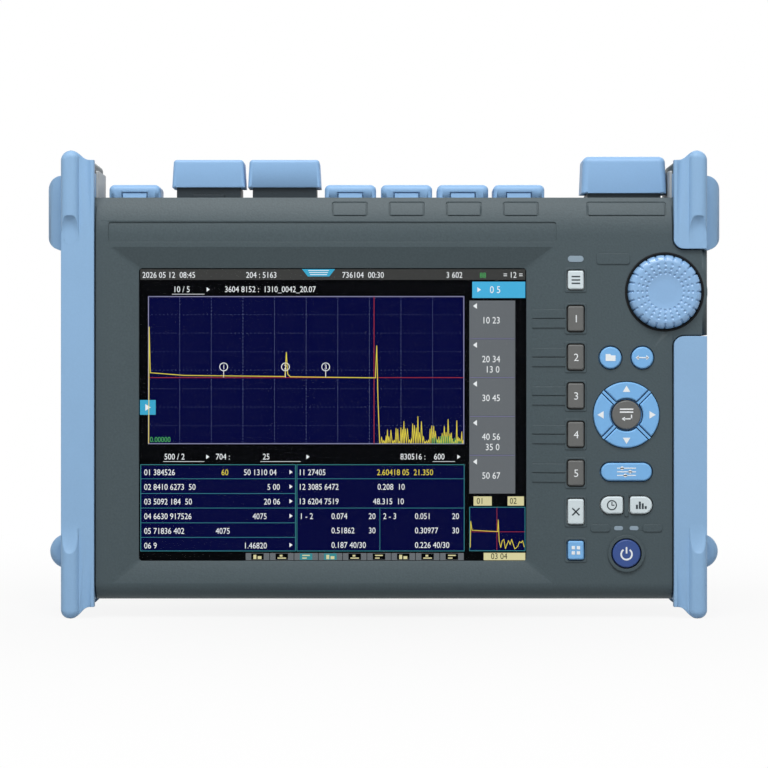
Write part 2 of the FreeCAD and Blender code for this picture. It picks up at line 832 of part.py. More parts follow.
def key_guides():
    """Pairs of low ribs that lead from the F keys over the edge and down the slope of the recess."""
    rim = column_key_width / 2 + key_gap + key_rim_width
    edge = screen_x + screen_width / 2 + bezel_right
    ribs = []
    for name, z, height in column_key_places():
        if name.startswith("key_f"):
            for low in (z + guide_split / 2, z - guide_split / 2 - guide_height):
                ribs.append(box(edge - guide_reach, column_x - rim + key_rim_width / 2, front_y - guide_proud,
                                front_y + bezel_drop, low, low + guide_height))
    slope = bezel_cut()
    slope.translate(Vector(0, -guide_proud, 0))
    return [rib.cut(slope) for rib in ribs]


def case_columns(y0, y1):
    reach = face_x - column_edge
    spots = [(side * reach, z) for side in (-1, 1) for z in (column_low_z, column_high_z)]
    return [drum(column_radius, x, z, y0, y1) for x, z in spots], spots


def chassis_boss_spots():
    beside = screen_width / 2 + lcd_margin + chassis_boss_gap + chassis_boss_radius
    return [(screen_x + side * beside, z) for side in (-1, 1)
            for z in (chassis_low_z + chassis_boss_rise, chassis_high_z - chassis_boss_rise)]


def board_peg_spots():
    x = column_x + board_peg_step
    between_z = (wide_key_z + half_key_z) / 2
    return [(x, column_top_z + board_peg_rise), (x, round_key_z + board_peg_rise),
            (2 * cluster_x - x, between_z), (x, power_z - board_peg_rise)]


def make_front_case(hull, hollow):
    front_half = box(-200, 200, -100, seam_y, -10, 300)
    shell = hull.cut(hollow).common(front_half)
    shell = shell.fuse(pod_block())
    pod_room = box(face_x - pod_root, pod_reach - wall, inner_front_y, pod_back_y - wall,
                   pod_low_z + wall, pod_high_z - wall)
    shell = shell.cut(pod_room)
    cup, well = knob_well()
    added = [cup, bezel_frame_block()] + face_details() + key_guides()
    columns, spots = case_columns(inner_front_y - 0.5, seam_y)
    added += columns
    added += [drum(chassis_boss_radius, x, z, inner_front_y - 0.5, chassis_y)
              for x, z in chassis_boss_spots()]
    added += [drum(board_peg_radius, x, z, inner_front_y - 0.5, board_y) for x, z in board_peg_spots()]
    shell = shell.multiFuse(added)
    cuts = [well, bezel_cut().cut(key_guides())] + face_cuts()
    cuts += [drum(screw_radius, x, z, seam_y - thread_depth, seam_y + 1) for x, z in spots]
    return shell.cut(cuts).removeSplitter()


def make_rear_case(hull, hollow):
    rear_half = box(-200, 200, seam_y, 100, -10, 300)
    shell = hull.cut(hollow).common(rear_half)
    columns, spots = case_columns(seam_y, back_y - 0.5)
    shell = shell.multiFuse(columns + battery_bay_solids() + stand_backing_solids())
    cuts = battery_bay_cuts() + stand_pocket_cuts() + vent_cuts()
    head_y = back_y - head_sink
    for x, z in spots:
        cuts.append(drum(screw_radius + screw_clearance, x, z, seam_y - 1, back_y))
        cuts.append(drum(head_radius + head_gap, x, z, head_y, back_y + 1))
    return shell.cut(cuts).removeSplitter()


def battery_bay_solids():
    """Walls of the battery bay and the frame that its cover closes on."""
    bay = box(bay_left - bay_wall, bay_right + bay_wall, bay_floor_y - bay_wall, back_y - 1,
              bay_low_z - bay_wall, bay_high_z + bay_wall)
    frame = box(bay_left - battery_cover_lip - 2, bay_right + battery_cover_lip + 2,
                back_y - battery_frame, back_y - 1,
                bay_low_z - battery_cover_lip / 2 - 2, bay_high_z + battery_cover_lip / 2 + 2)
    bosses = [drum(battery_boss_radius, x, z, back_y - battery_frame - battery_boss_length, back_y - 1)
              for x, z in battery_screw_spots()]
    return [bay, frame] + bosses


def battery_screw_spots():
    z = (bay_low_z + bay_high_z) / 2
    return [(bay_left - battery_cover_lip / 2, z), (bay_right + battery_cover_lip / 2, z)]


def battery_cover_span():
    return (bay_left - battery_cover_lip, bay_right + battery_cover_lip,
            bay_low_z - battery_cover_lip / 2, bay_high_z + battery_cover_lip / 2)


def battery_bay_cuts():
    x0, x1, z0, z1 = battery_cover_span()
    room = box(bay_left, bay_right, bay_floor_y, back_y + 1, bay_low_z, bay_high_z)
    seat = rounded_plate(x0, x1, z0, z1, battery_cover_corner, back_y - battery_cover_thickness, back_y + 1)
    pilots = [drum(battery_screw_radius, x, z, back_y - battery_frame - battery_boss_length + 1, back_y)
              for x, z in battery_screw_spots()]
    return [room, seat] + pilots


def make_battery_cover():
    x0, x1, z0, z1 = battery_cover_span()
    g = battery_cover_gap
    plate = rounded_plate(x0 + g, x1 - g, z0 + g, z1 - g, battery_cover_corner - g,
                          back_y - battery_cover_thickness, back_y)
    for x, z in battery_screw_spots():
        plate = plate.cut(drum(battery_head_radius + 0.1, x, z, back_y - battery_head, back_y + 1))
        plate = plate.cut(drum(battery_screw_radius + 0.1, x, z, back_y - 5, back_y + 1))
    return plate


def make_battery_screws():
    screws = []
    for x, z in battery_screw_spots():
        head = drum(battery_head_radius, x, z, back_y - battery_head, back_y)
        shank = drum(battery_screw_radius, x, z, back_y - battery_frame - battery_boss_length + 2,
                     back_y - battery_head)
        screws.append(head.fuse(shank).removeSplitter())
    return Part.makeCompound(screws)


def make_battery_pack():
    g = battery_gap
    pack = box(bay_left + g, bay_right - g, bay_floor_y, back_y - battery_cover_thickness,
               bay_low_z + g, bay_high_z - g)
    long_edges = [e for e in pack.Edges if e.BoundBox.XLength > 1]
    return pack.makeFillet(3.0, long_edges)


def stand_backing_solids():
    half = stand_width / 2 + stand_gap + stand_pin_seat + 1
    deep = stand_barrel_radius + stand_sink + stand_barrel_radius + stand_gap + stand_backing
    plate = box(-half, half, back_y - stand_sink - stand_thickness - stand_gap - stand_backing, back_y - 1,
                stand_low_z - 4, stand_axis_z + 6)
    trough = box(-half, half, back_y - deep, back_y - 1, stand_axis_z - 7, stand_axis_z + 6)
    return [plate, trough]


def stand_axis_y():
    return back_y - stand_sink - stand_barrel_radius


def stand_pocket_cuts():
    """Pocket for the folded stand, with a trough for its barrel and holes for the pin."""
    half = stand_width / 2 + stand_gap
    reach = stand_barrel_radius + stand_gap
    floor_y = back_y - stand_sink - stand_thickness - stand_gap
    pocket = box(-half, half, floor_y, back_y + 1, stand_low_z - stand_gap, stand_axis_z)
    axis_y = stand_axis_y()
    trough = box(-half, half, axis_y - reach, back_y + 1, stand_axis_z - reach - 1, stand_axis_z + reach)
    lug = box(-stand_lug / 2, stand_lug / 2, axis_y - reach - 1, axis_y, stand_axis_z - stand_barrel_radius,
              stand_axis_z + stand_barrel_radius)
    lug_end = rod(stand_barrel_radius, axis_y, stand_axis_z, -stand_lug / 2, stand_lug / 2)
    room = pocket.fuse(trough).cut(lug.fuse(lug_end))
    pin = rod(stand_pin_radius, axis_y, stand_axis_z, -half - stand_pin_seat, half + stand_pin_seat)
    scoop = post(stand_scoop_radius, 0, back_y + stand_scoop_radius - 4, stand_low_z - 8, stand_low_z)
    return [room, pin, scoop]


def make_stand():
    """Folding plate with two knuckles at the top and a thumb scoop at the foot."""
    axis_y = stand_axis_y()
    outer_y = back_y - stand_sink
    half = stand_width / 2
    foot = stand_low_z
    plate = rounded_plate(-half, half, foot, stand_axis_z, 5.0, outer_y - stand_thickness, outer_y)
    gap = stand_barrel_radius + stand_gap
    head = box(-half - 1, half + 1, axis_y - 10, outer_y + 1, stand_axis_z - gap - 0.6, stand_axis_z + 8)
    plate = plate.cut(head)
    knuckles = []
    for side in (-1, 1):
        x0 = side * half if side < 0 else half - stand_knuckle
        barrel = rod(stand_barrel_radius, axis_y, stand_axis_z, x0, x0 + stand_knuckle)
        web = box(x0, x0 + stand_knuckle, outer_y - stand_thickness, outer_y,
                  stand_axis_z - gap - 1.6, stand_axis_z)
        bore = rod(stand_pin_radius + running_gap, axis_y, stand_axis_z, x0 - 1, x0 + stand_knuckle + 1)
        knuckles.append(barrel.fuse(web).cut(bore))
    thumb = post(stand_scoop_radius, 0, outer_y + stand_scoop_radius - stand_scoop_depth,
                 foot - 1, foot + 7)
    return fuse([plate.cut(thumb)] + knuckles)


def make_stand_pin():
    half = stand_width / 2 + stand_gap + stand_pin_seat
    return rod(stand_pin_radius, stand_axis_y(), stand_axis_z, -half, half)


def vent_cuts():
    cuts = []
    for i in range(vent_count):
        x = vent_first_x + i * vent_pitch
        cuts.append(rounded_plate(x - vent_width / 2, x + vent_width / 2, vent_low_z, vent_high_z,
                                  vent_width / 2, back_y - wall - 1, back_y + 1))
    return cuts


def make_case_screws():
    screws = []
    head_y = back_y - head_sink
    for x, z in case_columns(0, 1)[1]:
        head = drum(head_radius, x, z, head_y, head_y + head_height)
        slot = drum(head_socket_radius, x, z, head_y + head_height - head_socket_depth,
                    head_y + head_height + 1)
        shank = drum(screw_radius, x, z, head_y - screw_length, head_y)
        screws.append(head.cut(slot).fuse(shank).removeSplitter())
    return Part.makeCompound(screws)


def guard_block(side):
    """Side slab of one guard with its returns, before the case is taken out of it; side is -1 or 1."""
    outer_x = flank_x + guard_side
    inner_x = face_x + guard_seam
    ridge_x = outer_x - ridge_width
    flat = case_depth / 2 + guard_lip
    x0, x1 = sorted((side * inner_x, side * outer_x))
    body = box(x0, x1, -flat, flat, guard_base_z, cheek_top_z + guard_cap)
    outer = edges_where(body, lambda p: abs(abs(p.x) - outer_x) < 0.01)
    body = body.makeFillet(guard_corner, outer)
    x0, x1 = sorted((side * (inner_x - 1), side * ridge_x))
    lip = case_depth / 2 - flank_step
    body = body.cut([box(x0, x1, -flat - 1, flat + 1, cheek_top_z - lip_drop, cheek_top_z + guard_cap + 1),
                     box(x0, x1, -flat - 1, flat + 1, 0, lip_foot_z),
                     box(x0, x1, -lip, lip, 0, case_bottom)])
    cap_z = cheek_top_z + guard_cap
    crest = edges_where(body, lambda p: abs(abs(p.x) - ridge_x) < 0.01 and p.z > cap_z - 0.01)
    return body.makeFillet(guard_cap_round, crest)


def lip_ends(side, toward):
    """Top and foot of a guard's lip, swept out from the face to the corner ridge."""
    flat = toward * (case_depth / 2 + guard_lip)
    start = side * (face_x + guard_seam + lip_flat)
    ridge_x = side * (flank_x + guard_side - ridge_width)
    middle = side * (flank_x + guard_side - ridge_width / 2)
    bend = (start + middle) / 2
    ends = []
    for base_z, tip_z, room in ((lip_foot_z, 0, 4), (cheek_top_z - lip_drop, ridge_top_z, -4)):
        poles = [Vector(start, flat, base_z), Vector(bend, flat, base_z), Vector(bend, flat, tip_z),
                 Vector(middle, flat, tip_z)]
        sweep = Part.BezierCurve()
        sweep.setPoles(poles)
        corners = [poles[3], Vector(middle, flat, base_z + room), Vector(start, flat, base_z + room)]
        corners.append(poles[0])
        edges = [sweep.toShape()]
        edges += [Part.LineSegment(a, b).toShape() for a, b in zip(corners, corners[1:])]
        face = Part.Face(Part.Wire(edges))
        ends.append(face.extrude(Vector(0, -toward * (guard_lip + flank_step), 0)))
    return ends


def ridge(side, toward):
    """Corner ridge of a guard; toward is -1 at the front and 1 at the back."""
    outer_x = flank_x + guard_side
    inner_x = outer_x - ridge_width
    x0, x1 = sorted((side * inner_x, side * outer_x))
    tip = toward * (case_depth / 2 + guard_lip + ridge_proud)
    y0, y1 = sorted((tip, tip - toward * ridge_length))
    bar = box(x0, x1, y0, y1, 0, ridge_top_z)
    corners = ((outer_x, ridge_top_z, ridge_crown), (inner_x, ridge_top_z, ridge_shoulder),
               (outer_x, 0, ridge_heel), (inner_x, 0, ridge_shoulder))
    for x, z, radius in corners:
        corner = edges_where(bar, lambda p: abs(abs(p.x) - x) < 0.01 and abs(p.z - z) < 0.01)
        bar = bar.makeFillet(radius, corner)
    bar = bar.makeFillet(ridge_round, edges_at_y(bar, tip))
    return bar.cut(relief_room(toward, x0 - 5, x1 + 5))


def relief_room(toward, x0, x1):
    """Room before the ridge at mid height; its ends sweep out to the ridge in hollow arcs."""
    flat = toward * (case_depth / 2 + guard_lip)
    tip = flat + toward * ridge_proud
    beyond = tip + toward * 5
    radius = (relief_run ** 2 + ridge_proud ** 2) / (2 * ridge_proud)
    half_turn = math.asin(relief_run / radius) / 2
    bow, along = radius * (1 - math.cos(half_turn)), radius * math.sin(half_turn)
    sweeps = []
    for z, way in ((relief_low_z, 1), (relief_high_z, -1)):
        sweeps.append([Vector(x0, tip, z), Vector(x0, flat + toward * bow, z + way * (relief_run - along)),
                       Vector(x0, flat, z + way * relief_run)])
    low, high = sweeps
    corners = [high[0], Vector(x0, beyond, relief_high_z), Vector(x0, beyond, relief_low_z), low[0]]
    edges = [Part.Arc(*low).toShape(), Part.Arc(*high).toShape()]
    edges.append(Part.LineSegment(low[2], high[2]).toShape())
    edges += [Part.LineSegment(a, b).toShape() for a, b in zip(corners, corners[1:])]
    return Part.Face(Part.Wire(Part.__sortEdges__(edges))).extrude(Vector(x1 - x0, 0, 0))


def valleys(side, toward):
    """Hollows beside the ridge at its foot and its top, each fading out towards mid height."""
    flat = toward * (case_depth / 2 + guard_lip)
    ridge_x = flank_x + guard_side - ridge_width
    hollows = []
    for end_z, way in ((0, 1), (ridge_top_z, -1)):
        deep_y, fade_y = flat + toward * (valley_radius - valley_depth), flat + toward * valley_radius
        start = Vector(side * (ridge_x - valley_offset), deep_y, end_z)
        fade = Vector(side * (face_x + guard_seam + valley_tip), fade_y, end_z + way * valley_length)
        run = fade - start
        hollows.append(Part.makeCylinder(valley_radius, run.Length * 1.4, start - run * 0.2, run))
    return hollows


def side_humps(side):
    """Lobes on the outer side of a guard, one high and one low."""
    outer_x = flank_x + guard_side
    base_x = flank_x + guard_side / 2
    x0, x1 = sorted((side * base_x, side * (outer_x + hump_proud)))
    high = box(x0, x1, -hump_depth / 2, hump_depth / 2, hump_low_z, hump_high_z)
    far = edges_where(high, lambda p: abs(abs(p.x) - outer_x - hump_proud) < 0.01)
    high = high.makeFillet(hump_round, far)
    low = drum(heel_hump_radius, side * outer_x, heel_hump_z, -heel_hump_depth / 2, heel_hump_depth / 2)
    rims = [e for e in low.Edges if e.BoundBox.YLength < 0.01]
    low = low.makeFillet(heel_hump_round, rims)
    keep = box(*sorted((side * base_x, side * 300)), -100, 100, 0, 300)
    return [high, low.common(keep)]


def grip_ribs(side, over_pod):
    """Low ribs up the side face; those beside the pod stand on it."""
    ribs = []
    for i in range(grip_rib_count):
        z = grip_rib_low_z + i * grip_rib_pitch
        beside_pod = pod_low_z < z < pod_high_z
        if beside_pod != over_pod:
            continue
        face = pod_reach if over_pod else flank_x + guard_side
        x0, x1 = sorted((side * (face - 1), side * (face + grip_rib_proud)))
        ribs.append(box(x0, x1, grip_rib_front, grip_rib_front + grip_rib_length,
                        z - grip_rib_width / 2, z + grip_rib_width / 2))
    return ribs


def make_guard(side, hull):
    body = guard_block(side)
    for toward in (-1, 1):
        body = body.multiFuse([ridge(side, toward)] + lip_ends(side, toward))
        body = body.cut(valleys(side, toward))
    behind = box(*sorted((side * (flank_x + guard_side - ridge_width), side * (face_x - 1))),
                 seam_y, 60, shoulder_z, 300)
    body = body.cut(behind)
    body = body.multiFuse(side_humps(side))
    if side > 0:
        body = body.fuse(fuse_all(grip_ribs(side, False)))
        body = body.cut(pod_notch())
    return body.cut(hull).cut(deck_bed()).removeSplitter()


def fuse_all(shapes):
    return shapes[0].multiFuse(shapes[1:])


def make_touch_panel():
    g = glass_margin
    return rounded_plate(screen_x - screen_width / 2 - g, screen_x + screen_width / 2 + g,
                         screen_z - screen_height / 2 - g, screen_z + screen_height / 2 + g,
                         1.5, glass_front_y, glass_back_y)


def make_gasket():
    w, h = screen_width / 2 + glass_margin, screen_height / 2 + glass_margin
    plate = box(screen_x - w, screen_x + w, glass_back_y, lcd_front_y, screen_z - h, screen_z + h)
    w, h = w - gasket_width, h - gasket_width
    return plate.cut(box(screen_x - w, screen_x + w, glass_back_y - 1, lcd_front_y + 1,
                         screen_z - h, screen_z + h))


def make_lcd():
    w, h = screen_width / 2 + lcd_margin, screen_height / 2 + lcd_margin
    return box(screen_x - w, screen_x + w, lcd_front_y, chassis_y, screen_z - h, screen_z + h)


def make_chassis():
    y1 = chassis_y + chassis_thickness
    plate = box(-face_x + chassis_left_margin, face_x - chassis_right_margin, chassis_y, y1,
                chassis_low_z, chassis_high_z)
    reach = main_board_width / 2 - standoff_inset
    levels = (main_board_low_z + standoff_inset, main_board_high_z - standoff_inset)
    posts = [drum(standoff_radius, main_board_x + side * reach, z, chassis_y + 0.5, main_board_y)
             for side in (-1, 1) for z in levels]
    holes = [drum(screw_radius + screw_clearance / 2, x, z, chassis_y - 1, y1 + 1)
             for x, z in chassis_boss_spots()]
    return plate.multiFuse(posts).cut(holes).removeSplitter()


def make_chassis_screws():
    screws = []
    seat = chassis_y + chassis_thickness
    for x, z in chassis_boss_spots():
        head = drum(chassis_head_radius, x, z, seat, seat + chassis_head_height)
        shank = drum(screw_radius, x, z, chassis_y, seat)
        screws.append(head.fuse(shank).removeSplitter())
    return Part.makeCompound(screws)


def make_main_board():
    """Circuit board with a processor, a memory and two power converters."""
    half = main_board_width / 2
    top = main_board_y + board_thickness
    parts = [box(main_board_x - half, main_board_x + half, main_board_y, top,
                 main_board_low_z, main_board_high_z)]
    upper_z = main_board_high_z - package_drop - processor_size / 2
    memory_x = main_board_x + processor_size / 2 + memory_gap + memory_size / 2
    for x, size, height in ((main_board_x, processor_size, processor_height),
                            (memory_x, memory_size, memory_height)):
        parts.append(plate_about(x, upper_z, size, size, 1.0, top, top + height))
    lower_z = main_board_low_z + converter_rise + converter_width / 2
    for side in (-1, 1):
        x = main_board_x + side * converter_step
        parts.append(plate_about(x, lower_z, converter_length, converter_width, 1.0, top,
                                 top + converter_height))
    return fuse(parts)


def key_board_outline(margin, y0, y1):
    """L-shaped outline that keeps clear of the knob's cup and the case screw column."""
    x0, x1 = column_x - key_board_left + margin, cluster_x + key_board_right - margin
    z0 = power_z - key_board_below + margin
    cup = knob_well_radius + knob_well_wall + key_board_gap + margin
    low = box(x0, x1, y0, y1, z0, knob_z - cup)
    high = box(x0, knob_x - cup, y0, y1, z0, laser_lamp_z + key_board_above - margin)
    notch = drum(column_radius + peg_gap + margin, face_x - column_edge, column_low_z, y0 - 1, y1 + 1)
    return low.fuse(high).cut(notch).removeSplitter()


def make_key_board():
    return key_board_outline(0, board_y, board_y + board_thickness)


def dome_spots():
    spots = [(column_x, z) for name, z, height in column_key_places()]
    spots += [(cluster_x + side * round_key_spacing / 2, round_key_z) for side in (-1, 1)]
    middle = (arrow_inner_radius + arrow_outer_radius) / 2
    for angle in (0, 90, 180, 270):
        t = math.radians(angle)
        spots.append((cluster_x + middle * math.cos(t), arrow_z + middle * math.sin(t)))
    spots += [(cluster_x, arrow_z), (cluster_x, wide_key_z), (cluster_x, power_z)]
    spots += [(cluster_x + side * half_key_spacing / 2, half_key_z) for side in (-1, 1)]
    return spots


def make_dome_sheet():
    """Rubber sheet on the key board with one dome under each key."""
    sheet = key_board_outline(sheet_margin, sheet_y, board_y)
    cuts = [drum(board_peg_radius + peg_gap, x, z, sheet_y - 1, board_y + 1) for x, z in board_peg_spots()]
    cuts += lens_pills(peg_gap, sheet_y - 1, board_y + 1)
    back = Vector(0, 1, 0)
    domes = [Part.makeCone(dome_top_radius, dome_radius, dome_height, Vector(x, key_back_y, z), back)
             for x, z in dome_spots()]
    return sheet.cut(cuts).multiFuse(domes).removeSplitter()


def make_lenses():
    return Part.makeCompound(lens_pills(0, front_y - lens_proud, board_y))


def make_knob():
    """Turned knob with a dished face, a round rim and a hollow skirt."""
    front = knob_front_y
    r, e = knob_radius, knob_rim_round
    crest = Vector(r - e, front, 0)
    bulge = Vector(r - e + e * math.sqrt(0.5), front + e - e * math.sqrt(0.5), 0)
    shoulder = Vector(r, front + e, 0)
    dish_y = front + knob_dish_depth
    hollow_y = skirt_y - knob_hollow_depth
    points = [shoulder, Vector(r, skirt_y, 0), Vector(knob_hollow_radius, skirt_y, 0),
              Vector(knob_hollow_radius, hollow_y, 0), Vector(knob_boss_radius, hollow_y, 0),
              Vector(knob_boss_radius, skirt_y, 0), Vector(shaft_radius, skirt_y, 0),
              Vector(shaft_radius, skirt_y - shaft_seat, 0), Vector(0, skirt_y - shaft_seat, 0),
              Vector(0, dish_y, 0), Vector(knob_dish_radius, dish_y, 0)]
    edges = [Part.Arc(crest, bulge, shoulder).toShape()]
    edges += [Part.LineSegment(a, b).toShape() for a, b in zip(points, points[1:])]
    edges.append(Part.LineSegment(points[-1], crest).toShape())
    body = Part.Face(Part.Wire(edges)).revolve(Vector(0, 0, 0), Vector(0, 1, 0), 360)
    body.translate(Vector(knob_x, 0, knob_z))
    return body.cut(knob_scallops())


def knob_scallops():
    """Grooves across the rim, evenly spaced."""
    cuts = []
    for i in range(knob_scallop_count):
        t = 2 * math.pi * i / knob_scallop_count
        way = Vector(math.cos(t), 0, math.sin(t))
        start = Vector(knob_x, knob_front_y, knob_z) + way * knob_rim_radius
        cuts.append(Part.makeCylinder(knob_scallop_radius, knob_radius - knob_rim_radius + 2, start, way))
    return cuts


def make_encoder_shaft():
    return drum(shaft_radius, knob_x, knob_z, skirt_y - shaft_seat, encoder_y + encoder_wall + 1)


def make_encoder_body():
    """Square can on the back of the cup, with a bushing that passes through its floor."""
    half = encoder_size / 2
    can = box(knob_x - half, knob_x + half, encoder_y, encoder_y + encoder_depth,
              knob_z - half, knob_z + half)
    bushing = drum(bushing_radius, knob_x, knob_z, encoder_y - bushing_length, encoder_y + 0.5)
    bore = drum(shaft_radius + running_gap, knob_x, knob_z, encoder_y - bushing_length - 1, encoder_y + 3)
    room = drum(plunger_radius + running_gap, knob_x, knob_z, encoder_y + encoder_wall,
                encoder_y + encoder_depth - encoder_wall)
    return can.fuse(bushing).cut(bore).cut(room).removeSplitter()


def make_encoder_plunger():
    y0 = encoder_y + encoder_wall + 1
    return drum(plunger_radius, knob_x, knob_z, y0, y0 + plunger_depth)


def hinge_lugs(x, y, z, foot_z):
    """Two lugs with a bore for the hinge pin, standing on foot_z."""
    lugs = []
    inner = hinge_barrel / 2 + hinge_gap
    for side in (-1, 1):
        x0, x1 = sorted((x + side * inner, x + side * (inner + hinge_lug)))
        lug = rod(hinge_radius, y, z, x0, x1)
        lug = lug.fuse(box(x0, x1, y - hinge_radius, y + hinge_radius, foot_z, z))
        lugs.append(lug.cut(rod(hinge_bore, y, z, x0 - 1, x1 + 1)))
    return lugs


def hinge_pin(x, y, z):
    half = hinge_barrel / 2 + hinge_gap + hinge_lug
    return rod(hinge_bore, y, z, x - half, x + half)


def cover_axis(front, base_z):
    """Height and depth of a cover's hinge, behind the cover and just above what it stands on."""
    return front + cover_depth + hinge_radius + hinge_gap, base_z + hinge_radius + hinge_gap


def make_cover(x, front, base_z, width, height, draft, crown):
    """Hollow cover with a barrel behind it for the hinge pin."""
    back = front + cover_depth
    if draft:
        foot = Part.makePolygon([Vector(px, py, base_z) for px, py in (
            (x - width / 2, front), (x + width / 2, front), (x + width / 2, back), (x - width / 2, back),
            (x - width / 2, front))])
        top_half = width / 2 - draft
        top = Part.makePolygon([Vector(px, py, base_z + height) for px, py in (
            (x - top_half, front + draft), (x + top_half, front + draft), (x + top_half, back),
            (x - top_half, back), (x - top_half, front + draft))])
        body = Part.makeLoft([foot, top], True, True)
    else:
        body = box(x - width / 2, x + width / 2, front, back, base_z, base_z + height)
    top_z = base_z + height
    uprights = [e for e in body.Edges if e.BoundBox.ZLength > height / 2 and e.BoundBox.YMax < back - 1]
    body = body.makeFillet(crown + cover_corner_step, uprights)
    rounded = edges_where(body, lambda p: p.z > top_z - 0.01)
    rounded = [e for e in rounded if e.BoundBox.YMin < back - 0.01]
    body = body.makeFillet(crown, rounded)
    w = cover_wall
    room = box(x - width / 2 + w + draft, x + width / 2 - w - draft, front + w + draft, back - w,
               base_z - 1, top_z - w)
    hinge_y, hinge_z = cover_axis(front, base_z)
    barrel = rod(hinge_radius, hinge_y, hinge_z, x - hinge_barrel / 2, x + hinge_barrel / 2)
    web = box(x - hinge_barrel / 2, x + hinge_barrel / 2, back - 0.5, hinge_y,
              hinge_z, hinge_z + hinge_radius)
    bore = rod(hinge_bore + running_gap, hinge_y, hinge_z, x - hinge_barrel, x + hinge_barrel)
    cover = body.fuse(barrel).fuse(web).cut(room).cut(bore)
    if not draft:
        half = tab_width / 2
        cover = cover.cut(box(x - half, x + half, front - 1, front + tab_depth, base_z - 1,
                              base_z + tab_height))
        cover = cover.fuse(box(x - half + tab_line, x + half - tab_line, front + tab_sink,
                               front + tab_depth + 0.1, base_z, base_z + tab_height - tab_line))
    return cover.removeSplitter()


def socket_x(i):
    return socket_first_x + i * socket_pitch


def cover_list():
    """Name, middle, front, base height, width, height, draft and rounding of every port cover."""
    low = [("cover_supply", supply_x)]
    low += [(f"cover_usb_{i + 1}", socket_x(i)) for i in range(3)]
    low += [("cover_network", socket_x(3))]
    covers = [(name, x, cover_front_y, deck_z, low_cover_width, low_cover_height, 0.0, low_cover_round)
              for name, x in low]
    for i in range(2):
        covers.append((f"cover_optical_{i + 1}", optical_first_x + i * optical_pitch, cover_front_y,
                       deck_z + neck_height, tall_cover_width, tall_cover_height, tall_cover_draft,
                       tall_cover_round))
    covers.append(("cover_option", option_x, option_front_y, deck_z + option_neck_height,
                   option_width, option_height, tall_cover_draft, option_round))
    return covers


def port_cutters():
    """Openings in the deck for every socket and neck."""
    z0, z1 = deck_floor_z - 1, deck_z + 1
    cutters = [post(jack_radius, supply_x, port_y, z0, z1)]
    for i in range(2):
        cutters.append(upright(socket_x(i), usb_width, usb_height, z0, z1, neck_fit))
    cutters.append(upright(socket_x(2), usb_b_width, usb_b_height, z0, z1, neck_fit))
    cutters.append(upright(socket_x(3), ethernet_width, ethernet_height, z0, z1, neck_fit))
    for i in range(2):
        x = optical_first_x + i * optical_pitch
        cutters.append(box(x - neck_width / 2 - neck_fit, x + neck_width / 2 + neck_fit,
                           neck_front_y - neck_fit, neck_back_y + neck_fit, z0, z1))
    half = option_neck_width / 2 + neck_fit
    cutters.append(box(option_x - half, option_x + half, option_front_y + option_neck_inset - neck_fit,
                       option_neck_back() + neck_fit, z0, z1))
    return cutters


def option_neck_back():
    return cover_axis(option_front_y, 0)[0] + hinge_radius + option_neck_tail


def upright(x, width, height, z0, z1, grow=0.0):
    return box(x - width / 2 - grow, x + width / 2 + grow, port_y - height / 2 - grow,
               port_y + height / 2 + grow, z0, z1)


def make_port_deck():
    """Plate that carries the sockets, with ends turned up against the cheeks."""
    half = cheek_x - deck_fit
    plate = box(-half, half, deck_front_y + deck_fit, deck_back_y - deck_fit, deck_floor_z, deck_z)
    parts = [plate]
    for side in (-1, 1):
        x0, x1 = sorted((side * half, side * (half - liner_thickness)))
        liner = box(x0, x1, deck_front_y + deck_fit, seam_y - liner_gap, deck_floor_z, deck_z + liner_height)
        front_top = edges_where(liner, lambda p: p.z > deck_z + 1 and p.y < deck_front_y + 1)
        parts.append(liner.makeFillet(liner_corner, front_top))
    for name, x, front, base_z, *sizes in cover_list():
        if base_z == deck_z:
            parts += hinge_lugs(x, *cover_axis(front, base_z), deck_z - 1)
    for x in io_post_spots():
        parts.append(post(post_radius, x, port_y, io_board_top(), deck_floor_z + 1))
    return fuse(parts).cut(port_cutters()).removeSplitter()


def io_board_top():
    return deck_z - socket_depth


def io_post_spots():
    return [(socket_x(0) + socket_x(1)) / 2, (socket_x(2) + socket_x(3)) / 2 - 1.2]


def make_io_board():
    x0 = socket_x(0) - usb_width / 2 - io_board_margin
    x1 = socket_x(3) + ethernet_width / 2 + io_board_margin
    top = io_board_top()
    return box(x0, x1, port_y - io_board_front, port_y + io_board_back, top - board_thickness, top)


def make_dc_jack():
    flange = post(jack_flange_radius, supply_x, port_y, deck_z, deck_z + jack_flange)
    body = post(jack_radius, supply_x, port_y, deck_z - jack_depth, deck_z + 0.1)
    bore = post(jack_bore, supply_x, port_y, deck_z - jack_depth + 2, deck_z + 5)
    pin = post(jack_pin, supply_x, port_y, deck_z - jack_depth + 1, deck_z - 0.5)
    return flange.fuse(body).cut(bore).fuse(pin).removeSplitter()


def make_usb_sockets():
    sockets = []
    z0, z1 = io_board_top(), deck_z
    for i in range(2):
        x = socket_x(i)
        shell = upright(x, usb_width, usb_height, z0, z1)
        mouth = upright(x, usb_width - 2 * usb_shell, usb_height - 2 * usb_shell, z0 + 2, z1 + 1)
        tongue = upright(x, usb_width - 2 * usb_shell - 1, usb_tongue, z0 + 1, z1 - 0.6)
        sockets.append(shell.cut(mouth).fuse(tongue).removeSplitter())
    shell = upright(socket_x(2), usb_b_width, usb_b_height, z0, z1)
    mouth = upright(socket_x(2), usb_b_mouth_width, usb_b_mouth_height, z0 + 2, z1 + 1)
    tongue = upright(socket_x(2), usb_b_tongue_width, usb_b_tongue_height, z0 + 1, z1 - 0.6)
    sockets.append(shell.cut(mouth).fuse(tongue).removeSplitter())
    return Part.makeCompound(sockets)


